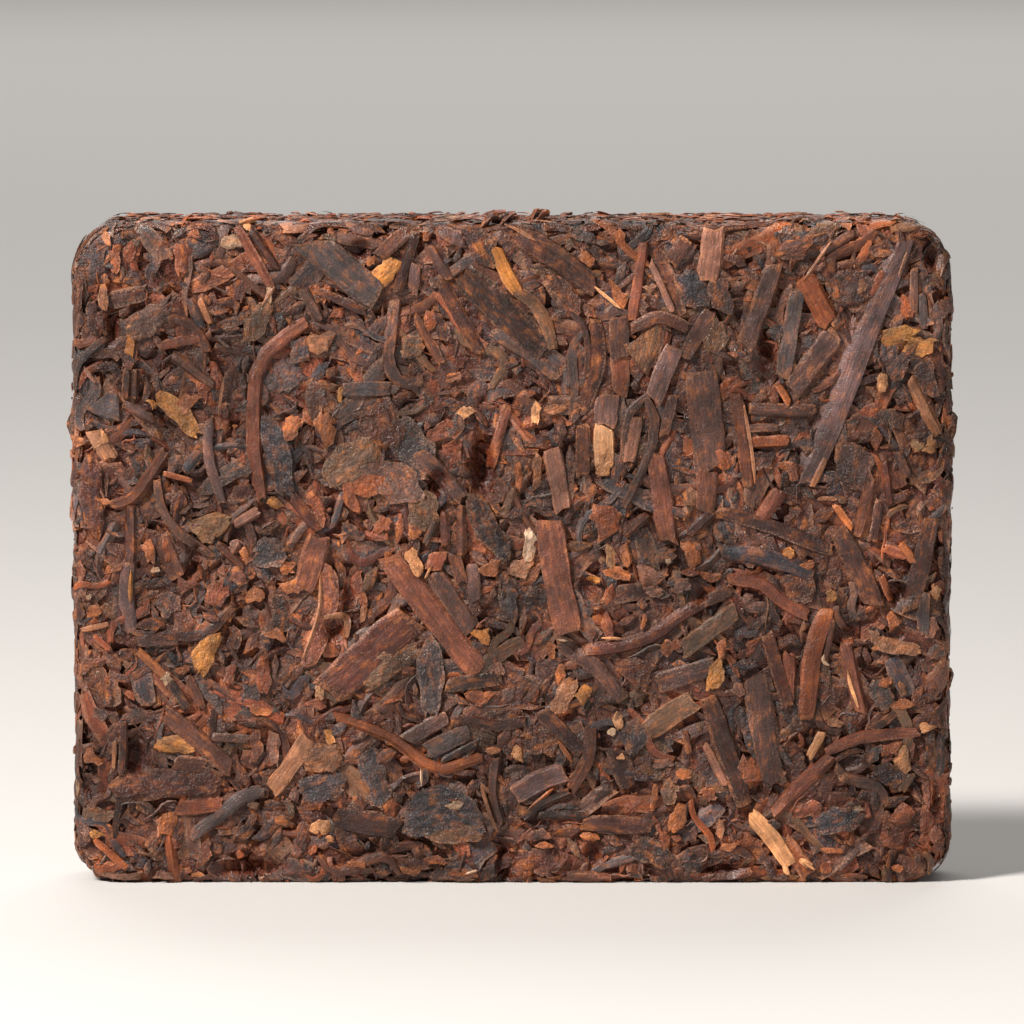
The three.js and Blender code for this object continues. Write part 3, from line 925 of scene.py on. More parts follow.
# %% Split stalks and planks
STALKS = [
    ("black", 3.4, (-5.5, 69.3), (3.8, 60.5)),
    ("dark", 3.0, (0.6, 74.2), (9.2, 68.4)),
    ("slate", 3.8, (-23, 73), (-15.2, 66.8)),
    ("brown", 1.7, (-15, 71.5), (-11.6, 74.6)),
    ("pink", 2.7, (23, 74.7), (22.3, 68.5)),
    ("purple", 2.2, (29.8, 70.4), (26.6, 61.1)),
    ("rust", 2.6, (33.2, 69), (36, 63.8)),
    ("slate", 1.9, (32.4, 67.6), (30.8, 57.7)),
    ("purple", 2.4, (36.6, 62.6), (31.7, 56.1)),
    ("purple", 2.4, (12.1, 64.4), (12.3, 59.8)),
    ("brown", 1.8, (19.7, 73.2), (18, 70.6)),
    ("purple", 1.7, (22.5, 65.2), (19.6, 60)),
    ("plum", 2.3, (18.4, 61), (16.1, 55.2)),
    ("purple", 4.1, (21.6, 58.2), (22.6, 47.3)),
    ("brick", 2.6, (16.3, 49), (17.8, 39)),
    ("brown", 2.4, (22.3, 47), (21.9, 42.6)),
    ("plum", 2.8, (10.9, 55.6), (10.5, 52.2)),
    ("pale", 2.5, (10.4, 51.9), (10.5, 47.4)),
    ("pink", 2.2, (4.5, 49.4), (5.8, 42.6)),
    ("brown", 1.6, (8, 52.3), (8, 46.5)),
    ("pink", 1.6, (14.1, 53), (13.3, 48.2)),
    ("slate", 1.7, (-19.2, 56.3), (-13.8, 56.4)),
    ("purple", 2.2, (-10.5, 49.2), (-5.6, 43.9)),
    ("slate", 3.2, (-47, 55), (-44.6, 54.2)),
    ("tan", 1.9, (-47.6, 51.5), (-45.6, 48.4)),
    ("brick", 2.8, (-21.9, 39.5), (-22.8, 36.2), (-23.7, 33.2)),
    ("maroon", 4.3, (-20.9, 21.6), (-16.4, 25.8), (-11.4, 30.1)),
    ("brick", 3.1, (-13.9, 37.2), (-9, 30.6), (-3.9, 24.1)),
    ("purple", 2.5, (-8.9, 35.2), (-4.7, 28.9)),
    ("brick", 3.5, (4.2, 41.4), (5.1, 35), (6.5, 28.6)),
    ("brown", 1.5, (-6.5, 37.3), (-5.7, 34.3)),
    ("plum", 1.5, (-4.6, 36.4), (-4.2, 32.3)),
    ("dark", 2.7, (37.1, 40.4), (39.1, 36.6), (41.2, 31.9)),
    ("dark", 2.2, (47.6, 41.5), (45.4, 31.3)),
    ("purple", 2.9, (27.7, 23.4), (28.5, 18), (29.6, 11.1)),
    ("olive", 2.3, (19.4, 26.5), (25.4, 31)),
    ("purple", 2.3, (16.6, 22.6), (22.8, 24.6)),
    ("olive", 2.7, (15.4, 17.3), (20.8, 20.8)),
    ("dark", 2.4, (22.4, 21), (26.6, 8.9)),
    ("dark", 3.0, (-20.1, 7.3), (-13.1, 5.9)),
    ("dark", 2.1, (8, 6.6), (16, 6.3)),
    ("slate", 2.3, (-9.8, 15), (-5, 17.2)),
    ("purple", 1.9, (-12, 16.2), (-7.5, 18.8)),
    ("black", 1.6, (-7.4, 22.5), (-1.4, 23.3)),
    ("dark", 1.8, (3.4, 19.5), (8, 14.7)),
    ("purple", 1.9, (5, 27.5), (9, 25), (12.7, 20.8)),
    ("red", 1.8, (-38.4, 8.3), (-32.9, 8.8)),
    ("brown", 2.4, (-39.8, 39.2), (-38, 35)),
    ("purple", 1.6, (-42.6, 27.6), (-38.4, 27.9)),
    ("tan", 2.3, (-23.2, 16.4), (-25, 13.6), (-27.4, 10.4)),
    ("brown", 2.2, (-39.6, 19.4), (-36, 16.5), (-32, 12.9)),
    ("brown", 1.8, (-38.5, 13.5), (-35, 13.3)),
    ("red", 1.9, (-9, 35.8), (-8.3, 37.6)),
    ("maroon", 1.6, (29, 28.3), (30.3, 24.2), (31.5, 20)),
    ("red", 1.6, (31.6, 26), (31.4, 20.4)),
    ("brown", 1.7, (9, 17.6), (8.6, 14), (6.7, 10.5)),
    ("plum", 2.5, (0.4, 9.8), (3.4, 11.6), (6, 12.4)),
]

# %% Long and short stems
STEMS = [
    ("plum", 3.8, (44.3, 73.2), (41.4, 66.4), (38.6, 59), (36.8, 54), (35.2, 50), (33, 45.6)),
    ("brick", 1.9, (-23.3, 63.9), (-27, 61.2), (-28.9, 58.5), (-29.3, 53), (-29.3, 49.5),
     (-28.4, 43.8)),
    ("purple", 1.6, (-13.2, 66.3), (-13.7, 62.2), (-13.9, 59.3), (-12.4, 57), (-10.2, 57.4)),
    ("gold", 1.7, (-1.9, 72.3), (-0.7, 69.7), (0.6, 67.4)),
    ("olive", 1.4, (0.4, 67.5), (2.2, 66.3), (3.7, 64), (4.6, 60.8)),
    ("dark", 1.7, (-8.1, 68.6), (-5.9, 64.5), (-3.5, 60.4)),
    ("slate", 1.8, (-2.2, 62.8), (1.6, 60.4), (5, 57.6)),
    ("dark", 1.3, (-10.9, 74.4), (-13, 67.4)),
    ("plum", 1.4, (-11, 70.5), (-11.3, 67.4)),
    ("purple", 1.5, (-9.3, 72.6), (-7.2, 68.9)),
    ("brown", 1.2, (-11, 64.6), (-8, 59.2)),
    ("brown", 1.3, (-39.2, 64.6), (-36, 63.4), (-34.4, 60.5)),
    ("blue", 1.3, (-36.5, 66.6), (-35.3, 63.3)),
    ("tan", 0.9, (-35.3, 66.6), (-34.2, 63.8)),
    ("brown", 0.9, (-31.9, 70.2), (-27.5, 66.5)),
    ("dark", 1.3, (-29.7, 74.5), (-26.7, 70)),
    ("brick", 1.3, (-31.2, 74.8), (-27.4, 68)),
    ("brick", 1.2, (-39.8, 61.3), (-35.5, 62.2)),
    ("dark", 1.2, (-22, 67.5), (-16.6, 65.1)),
    ("grey", 1.5, (-23.6, 67.7), (-21.8, 64.2)),
    ("grey", 1.3, (-19.7, 73.5), (-14.8, 72.7)),
    ("dark", 1.0, (4.6, 64.1), (6.3, 65.2), (8.1, 63.5), (8.7, 60.9), (8.5, 57.8)),
    ("dark", 1.8, (9.4, 64.3), (9.6, 58.9), (7.9, 53.9)),
    ("brown", 1.7, (13.8, 63.2), (16.7, 64.5), (19.9, 63.2)),
    ("pink", 0.9, (15.7, 70.7), (18.2, 65.2)),
    ("brick", 1.4, (15, 73), (13.7, 64)),
    ("dark", 1.2, (38.8, 74), (35.2, 71.8)),
    ("red", 0.9, (42, 69.6), (40.7, 67)),
    ("grey", 1.2, (45.6, 70), (45.6, 65.2)),
    ("slate", 1.1, (46.4, 67.3), (46.7, 63.3)),
    ("grey", 1.5, (-38.5, 60.2), (-33.8, 56.7)),
    ("brown", 1.6, (-39.3, 49.2), (-43, 44.1), (-45.5, 43)),
    ("grey", 1.3, (-40.3, 46.1), (-39.8, 42.8), (-37.9, 40), (-35.7, 38.5), (-34, 37.2)),
    ("plum", 1.2, (-34.3, 52.9), (-34.4, 49), (-33.6, 46), (-32.8, 43.4)),
    ("blue", 1.5, (-35.5, 49.3), (-37.2, 46.9)),
    ("rust", 0.7, (-39.5, 46.7), (-36.5, 45.9)),
    ("dark", 0.9, (-42.8, 58.5), (-42.9, 55.3)),
    ("dark", 0.9, (-43.6, 58.5), (-43.8, 55.3)),
    ("plum", 1.2, (-43.9, 54.6), (-40.7, 52.8)),
    ("dark", 1.8, (-43.2, 43), (-43.3, 36.6)),
    ("plum", 2.1, (-43.5, 36.6), (-43.7, 32.6), (-43.2, 28.6)),
    ("dark", 1.7, (-43, 28.2), (-38.5, 28.1), (-34.8, 28.4), (-31.8, 31.4)),
    ("brown", 1.2, (-33.5, 38.6), (-30.6, 36.1)),
    ("pink", 1.3, (-31.5, 40.9), (-28.8, 42.4)),
    ("grey", 1.15, (12.7, 48.4), (12.9, 51.5), (13.6, 54.2), (14.7, 55.5), (15.8, 54.6),
     (16.2, 52.3), (15.8, 49.8), (14.7, 46.9), (12.8, 42.8)),
    ("purple", 1.3, (18.2, 55.5), (17.2, 51)),
    ("brown", 1.6, (25.5, 55.8), (26.4, 50), (26.9, 45.3)),
    ("brick", 1.4, (-0.6, 54.4), (-2.5, 47.4)),
    ("maroon", 1.8, (-25, 44), (-22.2, 40.5)),
    ("grey", 0.9, (-8.8, 41.3), (-9.9, 38.7)),
    ("maroon", 1.3, (-7.6, 42.3), (-7.6, 38.5)),
    ("brown", 1.4, (-5.8, 43), (-5.8, 37.4)),
    ("brown", 1.3, (12.8, 39.8), (15.3, 42)),
    ("dark", 1.4, (20.2, 39.8), (22.8, 42.4)),
    ("tan", 1.5, (45.2, 57.4), (48.4, 51.2)),
    ("purple", 1.6, (43.8, 49.2), (45, 46.2)),
    ("maroon", 1.3, (42.3, 47.9), (43, 43.4)),
    ("brown", 1.9, (40.9, 46), (39.4, 39.6)),
    ("dark", 1.2, (41.8, 43.4), (41.1, 39)),
    ("tan", 0.9, (35.6, 48.5), (34.2, 45.3)),
    ("orange", 0.9, (36.7, 43), (38.6, 40.5)),
    ("purple", 1.8, (26.8, 54), (34.3, 53.8)),
    ("grey", 1.0, (26.8, 51.9), (30, 52)),
    ("rust", 1.4, (26.9, 50.2), (31.3, 50.4)),
    ("dark", 1.9, (23.4, 42.4), (29.5, 40.6), (36.4, 37.9)),
    ("brick", 2.2, (30.5, 44.8), (28.2, 41.5)),
    ("orange", 0.9, (30.3, 56.7), (31.5, 54.8)),
    ("blue", 2.6, (23.9, 37.6), (29, 36.9), (34.2, 35.1)),
    ("brick", 2.4, (24.6, 34.8), (28.4, 34.2), (30.6, 32.2), (33.7, 30.5)),
    ("orange", 1.1, (44.3, 38.7), (45.8, 36.5)),
    ("red", 1.2, (42.3, 38.1), (44.8, 37.1)),
    ("rust", 1.0, (42, 35), (43.1, 32.3)),
    ("slate", 1.8, (47, 33), (46.8, 28.4)),
    ("rust", 2.4, (35.9, 31.2), (34.3, 26), (33.6, 18.6)),
    ("brick", 2.0, (38, 27.4), (38.7, 23.4), (39.8, 19.4)),
    ("brown", 0.7, (36.6, 30), (35.6, 25.4)),
    ("maroon", 1.9, (8.4, 26.4), (13, 27.1), (16.4, 28.4), (19, 30.3), (22, 32)),
    ("brown", 1.3, (22, 32), (24.8, 33.4)),
    ("rust", 1.6, (-20.2, 18.9), (-16.5, 17.6), (-13, 16), (-10.6, 14), (-8.2, 12.8), (-3.5, 14.3)),
    ("dark", 1.3, (-6.6, 18.4), (-4.5, 18.5), (-2, 18), (1.6, 18.4)),
    ("purple", 1.2, (-1.7, 14.2), (-2.1, 10.2), (-1.2, 6.6)),
    ("tan", 0.5, (-3.5, 11), (-2.9, 9), (-2.2, 7), (-1.6, 5.7)),
    ("black", 0.9, (-8, 13.8), (-4.2, 15.8)),
    ("slate", 1.8, (-28.3, 10.3), (-31, 9.5), (-33.6, 7.4), (-36.6, 5.1)),
    ("grey", 1.2, (-34.2, 16.5), (-30, 16.3)),
    ("orange", 1.0, (-42.5, 26.4), (-39.7, 23.7)),
    ("brown", 1.3, (-36.9, 23.6), (-35.4, 20)),
    ("tan", 0.7, (-49, 28.8), (-46, 29.5)),
    ("red", 0.7, (-47.5, 28.2), (-45.8, 26.6)),
    ("rust", 1.0, (-47.6, 4.7), (-44, 1.5)),
    ("blue", 0.8, (-45.6, 4.7), (-44.3, 2.8)),
    ("dark", 1.0, (-44.2, 18.2), (-44.5, 12.2)),
    ("tan", 0.5, (-45.3, 16), (-45.4, 13)),
    ("brick", 2.2, (29.9, 7.7), (32.5, 10.6), (36.4, 14.2)),
    ("brick", 1.5, (35.8, 14.8), (40, 16.5), (46.2, 17.1)),
    ("pale", 2.2, (27.3, 7.6), (29.4, 5.2), (31.7, 1.9)),
    ("pale", 0.7, (30.9, 2.6), (31.4, 0.8)),
    ("pale", 1.1, (33.9, 14.2), (35.4, 17.1)),
    ("black", 1.1, (1.2, 7.1), (3.5, 9), (6.6, 10.3)),
    ("black", 1.2, (3, 7.6), (8.6, 7.5)),
    ("olive", 1.2, (45.6, 12.4), (44.4, 10.4)),
    ("brown", 0.8, (19.7, 17.2), (20.2, 14.8)),
    ("pink", 1.0, (22, 15.6), (24.3, 11)),
    ("fawn", 0.8, (-21.3, 30.3), (-19.6, 30.5), (-18.7, 29.9), (-18.9, 28)),
    ("black", 1.2, (-39, 22.9), (-37, 20)),
]

# %% Leaves and flat flakes
LEAVES = [
    ("brown", 2.2, (4.4, 69), (7.6, 65)),
    ("brown", 5.0, (-15.8, 54.6), (-13.8, 49.8)),
    ("grey", 4.4, (-15.2, 47.8), (-11.4, 43.4)),
    ("olive", 4.2, (-20.8, 45.6), (-15.6, 50)),
    ("rust", 2.4, (-17.8, 44.4), (-15.2, 46.4)),
    ("slate", 3.2, (-13.2, 52.6), (-9.4, 47)),
    ("blue", 3.2, (-27.8, 53), (-25.8, 44.3)),
    ("maroon", 3.0, (-47.8, 48.4), (-47.6, 39.8)),
    ("black", 2.8, (-4.5, 44.1), (-2.7, 40.4), (-0.2, 37.1)),
    ("brick", 2.3, (-20.9, 36), (-20.8, 32), (-22, 28.8), (-22.9, 25)),
    ("slate", 2.7, (-9.5, 27.6), (-9.2, 19.3)),
    ("olive", 2.7, (-16.6, 22.6), (-11, 27)),
    ("maroon", 3.1, (-45.2, 10.2), (-40, 11.3), (-33.4, 11.3)),
    ("blue", 4.4, (-12.4, 6.6), (-7.8, 8.6), (-3.4, 7)),
    ("olive", 2.2, (-10, 5.6), (-3.4, 5.4)),
    ("slate", 3.0, (-16.6, 15), (-14.4, 8.8)),
    ("blue", 3.6, (-23.8, 10), (-19.2, 11.4)),
    ("purple", 4.2, (38.8, 50), (38.7, 45.2)),
    ("blue", 3.2, (34.8, 6.4), (39.6, 7.6)),
    ("purple", 4.2, (36.6, 68.9), (40.2, 66.8)),
    ("olive", 2.4, (-27.8, 65.9), (-29.6, 62.2)),
    ("grey", 3.0, (-43.6, 63.4), (-39.2, 65.2)),
    ("blue", 3.4, (19.3, 69.4), (21.4, 65.9)),
    ("olive", 3.0, (22.6, 64.3), (22.9, 60.8)),
    ("olive", 3.0, (-10.6, 44.4), (-9.6, 40.4)),
    ("slate", 3.0, (-29.2, 37.2), (-26, 38.4)),
    ("red", 2.2, (-34.2, 31.6), (-32.8, 34)),
    ("brick", 2.2, (-37.9, 31.3), (-36.8, 28.4)),
    ("gold", 2.1, (-33.6, 28.4), (-35, 26.2), (-35.5, 24.1)),
    ("gold", 1.9, (-39.9, 55.8), (-35.8, 51.4)),
    ("brown", 3.4, (12.4, 23.8), (16, 24)),
    ("tan", 2.0, (6.9, 22.9), (5, 19.3)),
    ("gold", 1.7, (22.6, 22.1), (23.8, 25)),
    ("fawn", 3.4, (-23.4, 13.6), (-19.6, 14.6)),
    ("dark", 3.6, (1.4, 15.9), (5, 16.6)),
    ("slate", 2.4, (13.6, 18.4), (14, 14.8)),
    ("dark", 2.6, (41.6, 12), (44.4, 12.2)),
    ("slate", 2.2, (41.7, 23), (42.4, 20)),
    ("black", 2.8, (13.8, 4.2), (18, 2.4)),
    ("red", 1.7, (-28.3, 25.4), (-28.2, 21.8)),
    ("purple", 2.4, (-39.9, 32.8), (-38.2, 31)),
    ("brown", 3.6, (34, 34.2), (31, 33.7)),
    ("tan", 1.8, (41.4, 27.4), (43.6, 27), (46.3, 26.5)),
]

# %% [markdown]
# Small chips and buds are listed as patches, by their middle, their width and their height.

# %% Chips, buds and pale bits
PATCHES = [
    ("gold", -43.2, 62.0, 1.0, 3.4), ("red", -37.5, 71.1, 2.4, 2.9),
    ("white", -31.6, 73.0, 2.3, 1.6), ("tan", -46.0, 73.4, 0.9, 1.6),
    ("rust", -45.0, 71.1, 1.0, 3.0), ("tan", -46.3, 66.8, 1.1, 2.6),
    ("maroon", -46.4, 64.0, 1.2, 2.4), ("dark", -47.7, 64.5, 1.0, 3.4),
    ("brown", -49.2, 66.8, 1.0, 3.5), ("gold", -14.2, 69.8, 3.1, 1.9),
    ("plum", -6.8, 73.8, 3.1, 1.9), ("dark", -3.8, 72.6, 2.5, 4.4),
    ("olive", -11.4, 61.3, 2.3, 2.3), ("rust", -9.0, 64.3, 1.8, 1.7),
    ("dark", -8.0, 63.3, 1.1, 2.4), ("fawn", -21.7, 61.5, 2.6, 2.4),
    ("blue", -23.9, 60.9, 2.0, 2.5), ("maroon", -31.2, 67.5, 2.0, 2.2),
    ("white", -27.6, 67.0, 0.6, 2.2), ("olive", 14.6, 61.0, 2.9, 3.1),
    ("orange", 12.3, 73.4, 1.2, 2.0), ("orange", 8.5, 71.1, 1.2, 1.4),
    ("purple", 23.7, 66.9, 2.2, 3.5), ("orange", 12.1, 66.8, 1.8, 1.8),
    ("tan", 39.7, 68.1, 0.9, 1.4), ("orange", 36.7, 67.4, 0.8, 1.2),
    ("orange", 38.0, 75.1, 0.9, 0.8), ("dark", 44.0, 59.1, 2.6, 3.8),
    ("dark", 47.0, 57.7, 1.7, 4.3), ("brown", 32.2, 72.5, 4.0, 1.8),
    ("rust", 44.8, 65.6, 1.4, 2.4), ("maroon", -33.0, 53.9, 1.6, 1.4),
    ("tan", -35.8, 51.7, 2.0, 0.9), ("orange", -36.9, 54.9, 1.9, 1.5),
    ("gold", -40.7, 54.6, 1.0, 0.9), ("grey", -38.0, 47.7, 1.6, 2.3),
    ("slate", -31.7, 47.0, 2.7, 1.9), ("maroon", -30.4, 44.9, 2.3, 1.7),
    ("straw", -34.2, 40.9, 3.9, 2.3), ("maroon", -38.0, 43.0, 2.1, 3.3),
    ("orange", -25.2, 52.0, 1.8, 2.5), ("orange", -21.5, 52.3, 2.0, 2.5),
    ("gold", -27.0, 43.4, 1.4, 1.3), ("orange", -47.0, 43.3, 1.4, 1.4),
    ("gold", -19.5, 55.7, 0.6, 1.6), ("orange", -17.5, 46.6, 2.8, 1.5),
    ("rust", -18.4, 44.0, 1.4, 3.2), ("pale", -5.3, 53.8, 1.3, 1.3),
    ("red", -22.2, 43.0, 1.7, 2.9), ("rust", -14.8, 40.9, 1.5, 2.1),
    ("maroon", -10.9, 40.1, 1.2, 1.3), ("pale", 2.7, 53.6, 1.0, 2.3),
    ("tan", 5.0, 54.1, 2.3, 1.0), ("orange", 0.7, 46.5, 0.8, 2.9),
    ("tan", 2.9, 46.8, 1.2, 3.8), ("purple", 12.1, 47.3, 1.7, 2.7),
    ("rust", 11.0, 41.4, 2.2, 2.8), ("tan", 20.2, 44.1, 1.5, 1.6),
    ("straw", 46.0, 49.8, 1.3, 1.3), ("gold", 47.7, 49.8, 1.2, 1.3),
    ("red", 32.0, 46.8, 0.9, 1.6), ("tan", 35.8, 43.9, 1.9, 0.5),
    ("dark", 28.2, 48.3, 3.0, 1.4), ("pale", 42.0, 57.0, 1.0, 2.1),
    ("rust", 24.0, 48.4, 1.6, 2.2), ("gold", 43.8, 62.4, 3.6, 2.0),
    ("gold", 46.2, 61.1, 3.0, 1.9), ("orange", -24.9, 33.8, 2.1, 1.2),
    ("pale", -21.9, 21.8, 0.9, 1.6), ("pale", -11.1, 36.7, 1.3, 3.1),
    ("orange", -14.2, 36.9, 1.2, 1.8), ("orange", -2.4, 35.8, 2.2, 1.4),
    ("gold", -3.5, 28.3, 1.7, 1.7), ("pink", -1.4, 24.4, 1.0, 1.3),
    ("rust", -3.7, 21.2, 2.9, 1.5), ("tan", -16.9, 30.7, 0.6, 1.9),
    ("rust", -11.8, 24.2, 1.6, 0.9), ("slate", -0.3, 32.0, 1.9, 3.3),
    ("white", 1.9, 38.6, 1.3, 3.6), ("tan", 1.0, 36.0, 2.5, 1.5),
    ("orange", 13.0, 37.4, 0.9, 2.6), ("orange", 12.0, 35.3, 2.8, 1.1),
    ("straw", 11.2, 37.2, 1.0, 2.6), ("gold", 9.3, 34.6, 1.4, 0.8),
    ("white", 17.8, 36.7, 0.6, 0.5), ("grey", 17.5, 37.1, 2.0, 1.5),
    ("pink", 15.8, 35.1, 2.9, 2.3), ("pink", 19.2, 33.9, 1.6, 1.5),
    ("pink", 16.2, 33.2, 1.6, 0.9), ("orange", 20.4, 37.5, 1.5, 2.9),
    ("orange", 22.7, 34.8, 1.7, 1.0), ("red", 10.9, 29.2, 1.1, 2.8),
    ("orange", 15.0, 29.8, 0.6, 1.5), ("orange", 4.3, 26.5, 0.9, 1.6),
    ("orange", 5.6, 23.9, 1.0, 2.0), ("gold", 8.2, 21.5, 1.3, 1.5),
    ("orange", 23.9, 26.6, 0.9, 2.0), ("rust", 17.9, 26.7, 1.5, 1.4),
    ("pink", 26.0, 22.0, 1.1, 1.5), ("gold", 31.5, 37.7, 1.2, 1.2),
    ("orange", 33.6, 36.3, 1.6, 0.9), ("gold", 36.5, 32.7, 1.0, 1.2),
    ("straw", 48.2, 33.3, 1.2, 1.3), ("orange", 43.4, 29.8, 1.1, 1.7),
    ("tan", 41.0, 28.0, 0.9, 0.9), ("pink", 47.8, 29.0, 1.8, 2.1),
    ("slate", 48.4, 26.5, 1.9, 1.7), ("orange", 42.2, 27.0, 1.7, 1.3),
    ("pale", 45.6, 26.4, 1.4, 0.8), ("orange", 42.6, 22.8, 1.2, 1.2),
    ("tan", 44.5, 22.0, 0.9, 1.4), ("orange", 44.5, 20.4, 1.9, 1.3),
    ("rust", 38.2, 27.6, 1.3, 0.6), ("rust", -39.3, 38.0, 0.8, 2.6),
    ("orange", -41.0, 37.8, 0.9, 2.5), ("white", -40.6, 35.7, 0.9, 0.6),
    ("pink", -31.5, 38.1, 1.4, 1.7), ("orange", -30.3, 37.3, 1.1, 1.2),
    ("brick", -31.2, 35.2, 1.7, 1.2), ("orange", -25.5, 36.2, 1.4, 1.0),
    ("brick", -37.3, 34.0, 1.7, 1.4), ("maroon", -34.2, 30.2, 1.4, 1.1),
    ("maroon", -41.0, 29.5, 2.3, 1.3), ("white", -39.3, 23.2, 1.1, 1.3),
    ("orange", -37.5, 24.2, 1.5, 1.1), ("red", -32.0, 23.8, 0.9, 1.9),
    ("orange", -29.4, 32.8, 2.1, 1.6), ("orange", -26.8, 28.3, 1.7, 1.1),
    ("orange", -47.5, 31.0, 1.4, 1.2), ("maroon", -49.3, 31.0, 0.8, 1.9),
    ("white", -48.2, 32.6, 0.6, 0.5), ("dark", -46.2, 21.0, 0.9, 1.6),
    ("orange", -28.9, 19.7, 1.5, 1.3), ("orange", -48.0, 14.5, 1.5, 1.4),
    ("pink", -48.0, 11.8, 1.2, 1.0), ("gold", -38.5, 15.3, 4.2, 1.6),
    ("orange", -39.3, 6.5, 2.2, 2.4), ("brick", -29.2, 15.5, 1.2, 2.9),
    ("pink", -27.2, 15.3, 1.3, 3.2), ("dark", -32.3, 18.0, 1.1, 1.1),
    ("gold", -47.5, 5.4, 1.2, 0.8), ("pink", -39.8, 0.7, 1.6, 0.9),
    ("tan", -35.9, 0.6, 1.2, 0.6), ("brick", -35.0, 3.3, 1.3, 2.1),
    ("pink", -28.4, 3.9, 0.8, 0.8), ("orange", -26.2, 7.0, 1.4, 1.0),
    ("gold", -20.8, 16.6, 0.7, 1.6), ("brown", -14.4, 14.2, 2.4, 1.3),
    ("rust", -22.2, 9.5, 1.9, 1.9), ("dark", -17.4, 9.0, 1.1, 1.6),
    ("rust", -13.9, 8.3, 1.5, 1.7), ("pale", -21.6, 6.1, 2.1, 1.4),
    ("pale", -20.8, 4.9, 0.8, 0.8), ("white", -6.5, 8.9, 1.4, 1.2),
    ("tan", -2.2, 15.0, 1.7, 0.7), ("orange", -17.8, 1.9, 2.0, 0.8),
    ("rust", -8.8, 2.4, 2.4, 0.8), ("orange", -11.6, 1.0, 1.9, 0.6),
    ("red", -5.6, 0.8, 3.2, 0.5), ("pale", 0.5, 14.6, 0.9, 1.4),
    ("brown", 3.0, 5.2, 2.6, 1.0), ("orange", 3.7, 4.1, 1.8, 0.8),
    ("orange", 8.9, 5.0, 1.8, 0.9), ("pale", 12.2, 18.4, 1.2, 1.7),
    ("white", 11.4, 17.0, 0.9, 0.9), ("pale", 12.4, 14.3, 0.7, 0.5),
    ("pink", 17.2, 13.6, 1.9, 0.8), ("orange", 19.6, 12.4, 1.5, 0.9),
    ("orange", 16.2, 9.6, 0.7, 3.1), ("olive", 17.7, 10.5, 1.7, 2.1),
    ("orange", 18.9, 7.3, 1.5, 3.3), ("rust", 17.3, 4.5, 1.3, 2.0),
    ("rust", 22.4, 10.0, 1.3, 1.2), ("tan", 23.8, 6.0, 0.9, 1.9),
    ("orange", 24.7, 4.0, 1.6, 0.8), ("rust", 27.4, 12.5, 2.2, 3.0),
    ("pink", 30.7, 12.0, 0.8, 1.6), ("pale", 44.4, 13.7, 2.1, 2.3),
    ("rust", 43.0, 15.1, 2.2, 1.6), ("rust", 44.6, 7.6, 2.7, 1.6),
    ("brick", 48.4, 5.5, 1.1, 1.7), ("red", 33.8, 8.3, 3.0, 1.4),
    ("white", 39.5, 8.3, 0.8, 0.7), ("slate", 39.6, 7.2, 0.8, 0.9),
    ("orange", 36.6, 3.5, 2.1, 0.7), ("orange", 44.0, 1.5, 1.1, 0.7),
    ("pale", 33.5, 2.2, 1.5, 0.9), ("tan", 36.8, 18.1, 1.6, 0.9),
    ("pale", 47.2, 17.7, 1.4, 1.0), ("white", 49.2, 9.6, 0.4, 0.7),
    ("slate", 41.2, 14.6, 1.1, 1.9), ("orange", -16.0, 71.0, 1.0, 0.9),
    ("tan", 15.6, 67.6, 0.9, 0.9), ("dark", 9.0, 44.2, 1.0, 2.4),
    ("brown", -6.6, 57.8, 1.4, 0.9), ("pale", 10.5, 47.7, 1.7, 2.4),
    ("pale", -46.6, 50.6, 1.3, 1.7),
]

# %% Fine fibres
FIBRES = [
    ("tan", 0.5, (-0.9, 75.6), (2.6, 73.2)),
    ("pale", 0.35, (9.5, 67.9), (12.3, 65.5)),
    ("tan", 0.4, (36.1, 73), (33.1, 68.7)),
    ("tan", 0.3, (44.7, 71.8), (43.8, 69.2)),
    ("tan", 0.4, (26.3, 54.6), (27.2, 49.4), (27.6, 45.8)),
    ("tan", 0.5, (-21.8, 35.6), (-21.9, 31), (-23.8, 25.6)),
    ("grey", 0.7, (3, 73.2), (6, 71.4), (9.1, 68.9)),
    ("tan", 0.5, (-26.9, 68), (-28.2, 66)),
    ("tan", 0.35, (-32.7, 57.2), (-33.3, 53.6)),
    ("pink", 0.5, (-48.6, 58.7), (-47.4, 57.2)),
    ("pale", 0.35, (10.3, 27.9), (12.1, 27.9)),
    ("white", 0.3, (5.2, 27.8), (6.3, 27.6)),
    ("tan", 0.3, (33.3, 30), (32.9, 28.7), (33, 27.5)),
    ("white", 0.4, (35.5, 25.9), (35.4, 25.3), (35.9, 24.9)),
    ("pale", 0.4, (38.2, 24), (38.7, 22), (39.4, 20)),
    ("pale", 0.35, (-9.9, 34.7), (-9.2, 36.1)),
    ("white", 0.3, (-10.4, 12.9), (-10.3, 11.1)),
    ("pale", 0.3, (33.2, 2.2), (34.5, 1.3)),
    ("tan", 0.45, (-3.6, 11.2), (-2.7, 10.2)),
    ("orange", 0.5, (2, 8.4), (4.6, 10.6)),
    ("gold", 0.5, (-43.3, 35.6), (-43.4, 32)),
    ("orange", 0.5, (5.4, 16), (6.8, 13.8)),
    ("white", 0.3, (-5.4, 0.8), (-3.8, 1.3)),
]
print("pieces set by hand:", len(STALKS) + len(STEMS) + len(LEAVES) + len(PATCHES) + len(FIBRES))

# %% [markdown]
# ## From lists to pieces
#
# The lists say only what the front shows. Thickness, curl and how far a piece stands proud
# come from its kind: a stem is nearly as thick as wide, a split stalk is half that, and a leaf
# is thin. The broad pieces lie lowest and the small ones on top of them. The back isn't seen,
# so it gets the same pieces turned upside down, which makes it as rich as the front.


